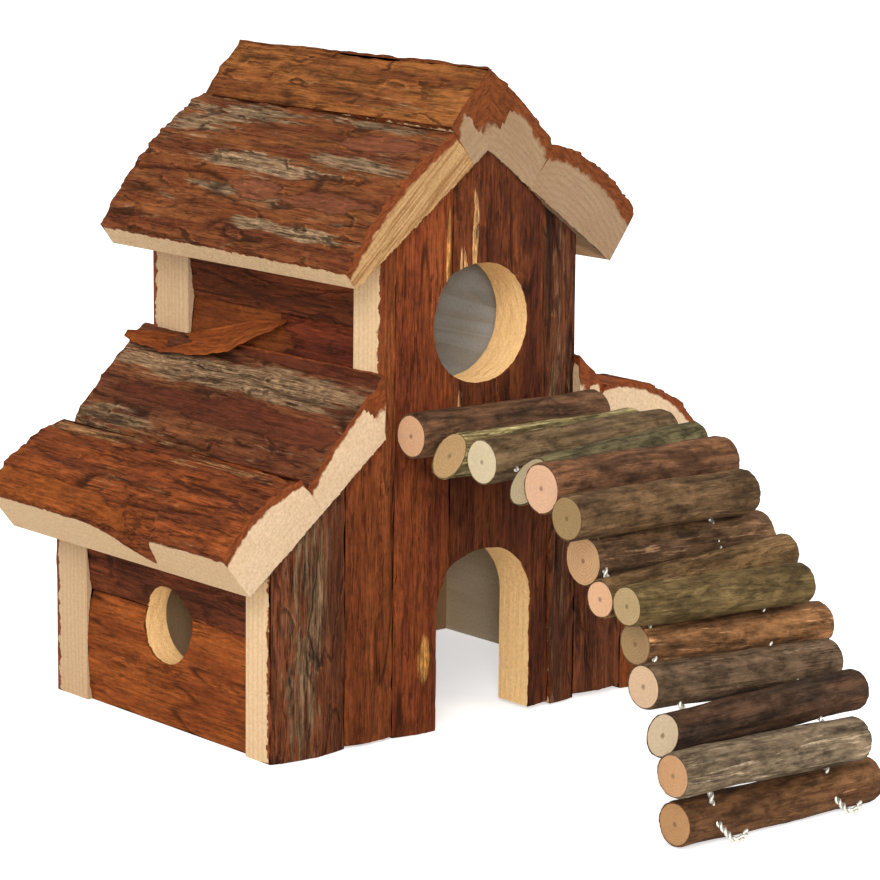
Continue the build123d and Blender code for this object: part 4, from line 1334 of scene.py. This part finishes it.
def twisted(points, twist_length=TWIST, turns_from=0.0):
    """Two strands that wind round each other along a line of points."""
    points = [Vector(p) for p in points]
    routes = [[], []]
    run = 0.0
    side = Vector((1, 0, 0))
    for before, after in zip(points, points[1:]):
        way = (after - before).normalized()
        up = way.cross(side).normalized()
        out = up.cross(way).normalized()
        steps = max(2, round((after - before).length / (0.5 * MM)))
        for k in range(steps + (after is points[-1])):
            at = before.lerp(after, k / steps)
            angle = 2 * math.pi * ((run + (at - before).length) / twist_length + turns_from)
            off = (out * math.cos(angle) + up * math.sin(angle)) * STRAND / 2
            routes[0].append(at + off)
            routes[1].append(at - off)
        run += (after - before).length
    return strand_mesh(routes, STRAND)


print("strands of", STRAND / MM, "mm, one turn in", TWIST / MM, "mm")

# %% The two wires
WIRE_SIDE = 29 * MM
TAIL, HOOK_RUN, HOOK_OUT = 11 * MM, 8.5 * MM, 11 * MM
WALL_END, FIRST_END, LAST_END, BEND_REACH = 1.5 * MM, 6 * MM, 8 * MM, 1.2 * MM
HOOK_TWIST = 5 * MM
HOOK_WAY = Vector((0, -0.866, -0.5))
hook_turns = ((0, 0, 0), (2.5, -1.2, -0.3), (5.5, -0.6, 0.6), (7, 0.8, 1.6))
bodies = ["house"] + [f"ladder_rung_{n:02d}" for n in range(1, RUNGS + 1)]


def gap_points(side):
    """The middle of each gap on one wire, read from the hinges, which run through both wires."""
    found = []
    for joint in frame["joints"]:
        axis = Vector(joint["axis"])
        found.append(Vector(joint["pos_m"]) + axis * (side * WIRE_SIDE / axis.x))
    return found


def add_wire(name, mesh, body, node):
    """A length of wire in the scene, fixed to a body if one is given."""
    mesh.materials.append(steel)
    piece = in_scene(name, mesh)
    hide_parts(node)
    if body:
        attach(piece, body)
    for polygon in mesh.polygons:
        polygon.use_smooth = True
    return piece


for label, side in (("left", -1), ("right", 1)):
    node = f"ladder_wire_{label}"
    gaps = gap_points(side)
    onwards = (gaps[-1] - gaps[-2]).normalized()
    hole = Vector((gaps[0].x, FRONT_INNER + HOUSE_Y + 1 * MM, gaps[0].z))
    tail = twisted([hole + Vector((0, 0, TAIL)), hole, gaps[0] + Vector((0, WALL_END, 0))])
    add_wire(f"{node}_tail", tail, "house", node)
    for number, gap in enumerate(gaps):
        before = (gaps[number - 1] + gap) / 2 if number else gap + Vector((0, FIRST_END, 0))
        after = (gap + gaps[number + 1]) / 2 if number < RUNGS - 1 else gap + onwards * LAST_END
        mesh = twisted([before, gap, after], turns_from=0.13 * number)
        piece = add_wire(f"{node}_gap_{number + 1:02d}", mesh, None, node)
        way = (after - before).normalized() * BEND_REACH
        bodies[number + 1]
        gap - way
        gap + way
        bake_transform(piece)
    inner = gaps[-1] + onwards * HOOK_RUN
    hook = [inner] + [inner + HOOK_WAY * HOOK_OUT + Vector(turn) * MM for turn in hook_turns]
    add_wire(f"{node}_hook", twisted(hook, HOOK_TWIST), bodies[-1], node)
for name in ("front_wall_brads", "rear_wall_brads", "roof_brads", "wire_staples"):
    node = frame["nodes"][name]
    node.data.materials.clear()
    node.data.materials.append(steel)
print("gaps on each wire", len(gaps))

# %% [markdown]
# ## Stage, light and camera
# The photograph was taken from the front left, a little above, with a long lens. The light is soft
# and comes from the upper left in front, with a small lamp beside the camera that reaches into the
# openings. The floor and the background are white: a plain white floor would turn grey in this light, so
# it glows a little where the camera looks at it, and still shows the house's shadow.

# %% The floor and the background
FLOOR_SINK, HALF_FLOOR = 0.2 * MM, 6


def looked_at(t):
    """1 for rays from the camera, also by way of a mirror or a clear thing, and 0 for others."""
    rays = t.tree.nodes.new("ShaderNodeLightPath").outputs
    seen = t.math("MAXIMUM", rays["Is Camera Ray"], rays["Is Glossy Ray"])
    return t.math("MAXIMUM", seen, rays["Is Transmission Ray"])


bm = bmesh.new()
bmesh.ops.create_grid(bm, x_segments=1, y_segments=1, size=HALF_FLOOR)
floor = in_scene("floor", to_mesh(bm, "floor"))
floor.location.z = -FLOOR_SINK
floor_finish = bpy.data.materials.new("floor_finish")
floor_finish.use_nodes = True
t = Tree(floor_finish.node_tree)
shader = floor_finish.node_tree.nodes["Principled BSDF"]
shader.inputs["Base Color"].default_value = (0.93, 0.93, 0.92, 1)
shader.inputs["Roughness"].default_value = 0.9
shader.inputs["Specular IOR Level"].default_value = 0.0
shader.inputs["Emission Color"].default_value = (1, 1, 1, 1)
t.plug(shader.inputs["Emission Strength"], looked_at(t) * 0.55)
floor.data.materials.append(floor_finish)

world = bpy.data.worlds.new("studio")
bpy.context.scene.world = world
world.use_nodes = True
t = Tree(world.node_tree)
background = world.node_tree.nodes["Background"]
background.inputs["Color"].default_value = (1, 1, 1, 1)
t.plug(background.inputs["Strength"], looked_at(t) * 0.15 + 0.85)
print("floor", [round(side, 1) for side in floor.dimensions], "m")

# %% The lamps
LIT_POINT = Vector((0, 0, 0.1))


def softbox(name, position, size, power):
    """A round soft lamp that looks at the house."""
    lamp = bpy.data.lights.new(name, "AREA")
    lamp.shape, lamp.size, lamp.energy = "DISK", size, power
    holder = in_scene(name, lamp)
    holder.location = position
    holder.rotation_euler = (LIT_POINT - Vector(position)).to_track_quat("-Z", "Y").to_euler()


softbox("key", (-1.4, -1.2, 1.3), 1.0, 19)
softbox("fill", (0.9, -1.7, 0.8), 1.2, 8)
softbox("flash", (-0.95, -1.15, 0.45), 0.2, 4)
print("lamps", len(bpy.data.lights))

# %% The camera
# the camera that was fitted to the photograph: turns in degrees, place in metres, focal length in pixels
CAMERA_TURNS = (-40.73, -11.02, 0.68)
CAMERA_PLACE = (-0.8726, -1.0616 + HOUSE_Y, 0.3689)
FOCAL_PIXELS, PHOTO_PIXELS, SENSOR = 3494.7, 880, 36
yaw, pitch, roll = (math.radians(angle) for angle in CAMERA_TURNS)
forward = Vector((-math.sin(yaw) * math.cos(pitch), math.cos(yaw) * math.cos(pitch), math.sin(pitch)))
level = Vector((math.cos(yaw), math.sin(yaw), 0))
upright = level.cross(forward)
right = level * math.cos(roll) + upright * math.sin(roll)
up = upright * math.cos(roll) - level * math.sin(roll)
lens = bpy.data.cameras.new("camera")
lens.sensor_width, lens.lens = SENSOR, FOCAL_PIXELS / PHOTO_PIXELS * SENSOR
lens.clip_start, lens.clip_end = 0.05, 20
camera = in_scene("camera", lens)
turned = Matrix((right, up, -forward)).transposed().to_4x4()
camera.matrix_world = Matrix.Translation(CAMERA_PLACE) @ turned
bpy.context.scene.camera = camera
bpy.context.scene.view_settings.view_transform = "Standard"
print("lens", round(lens.lens, 1), "mm")

# %% [markdown]
# ## Finish
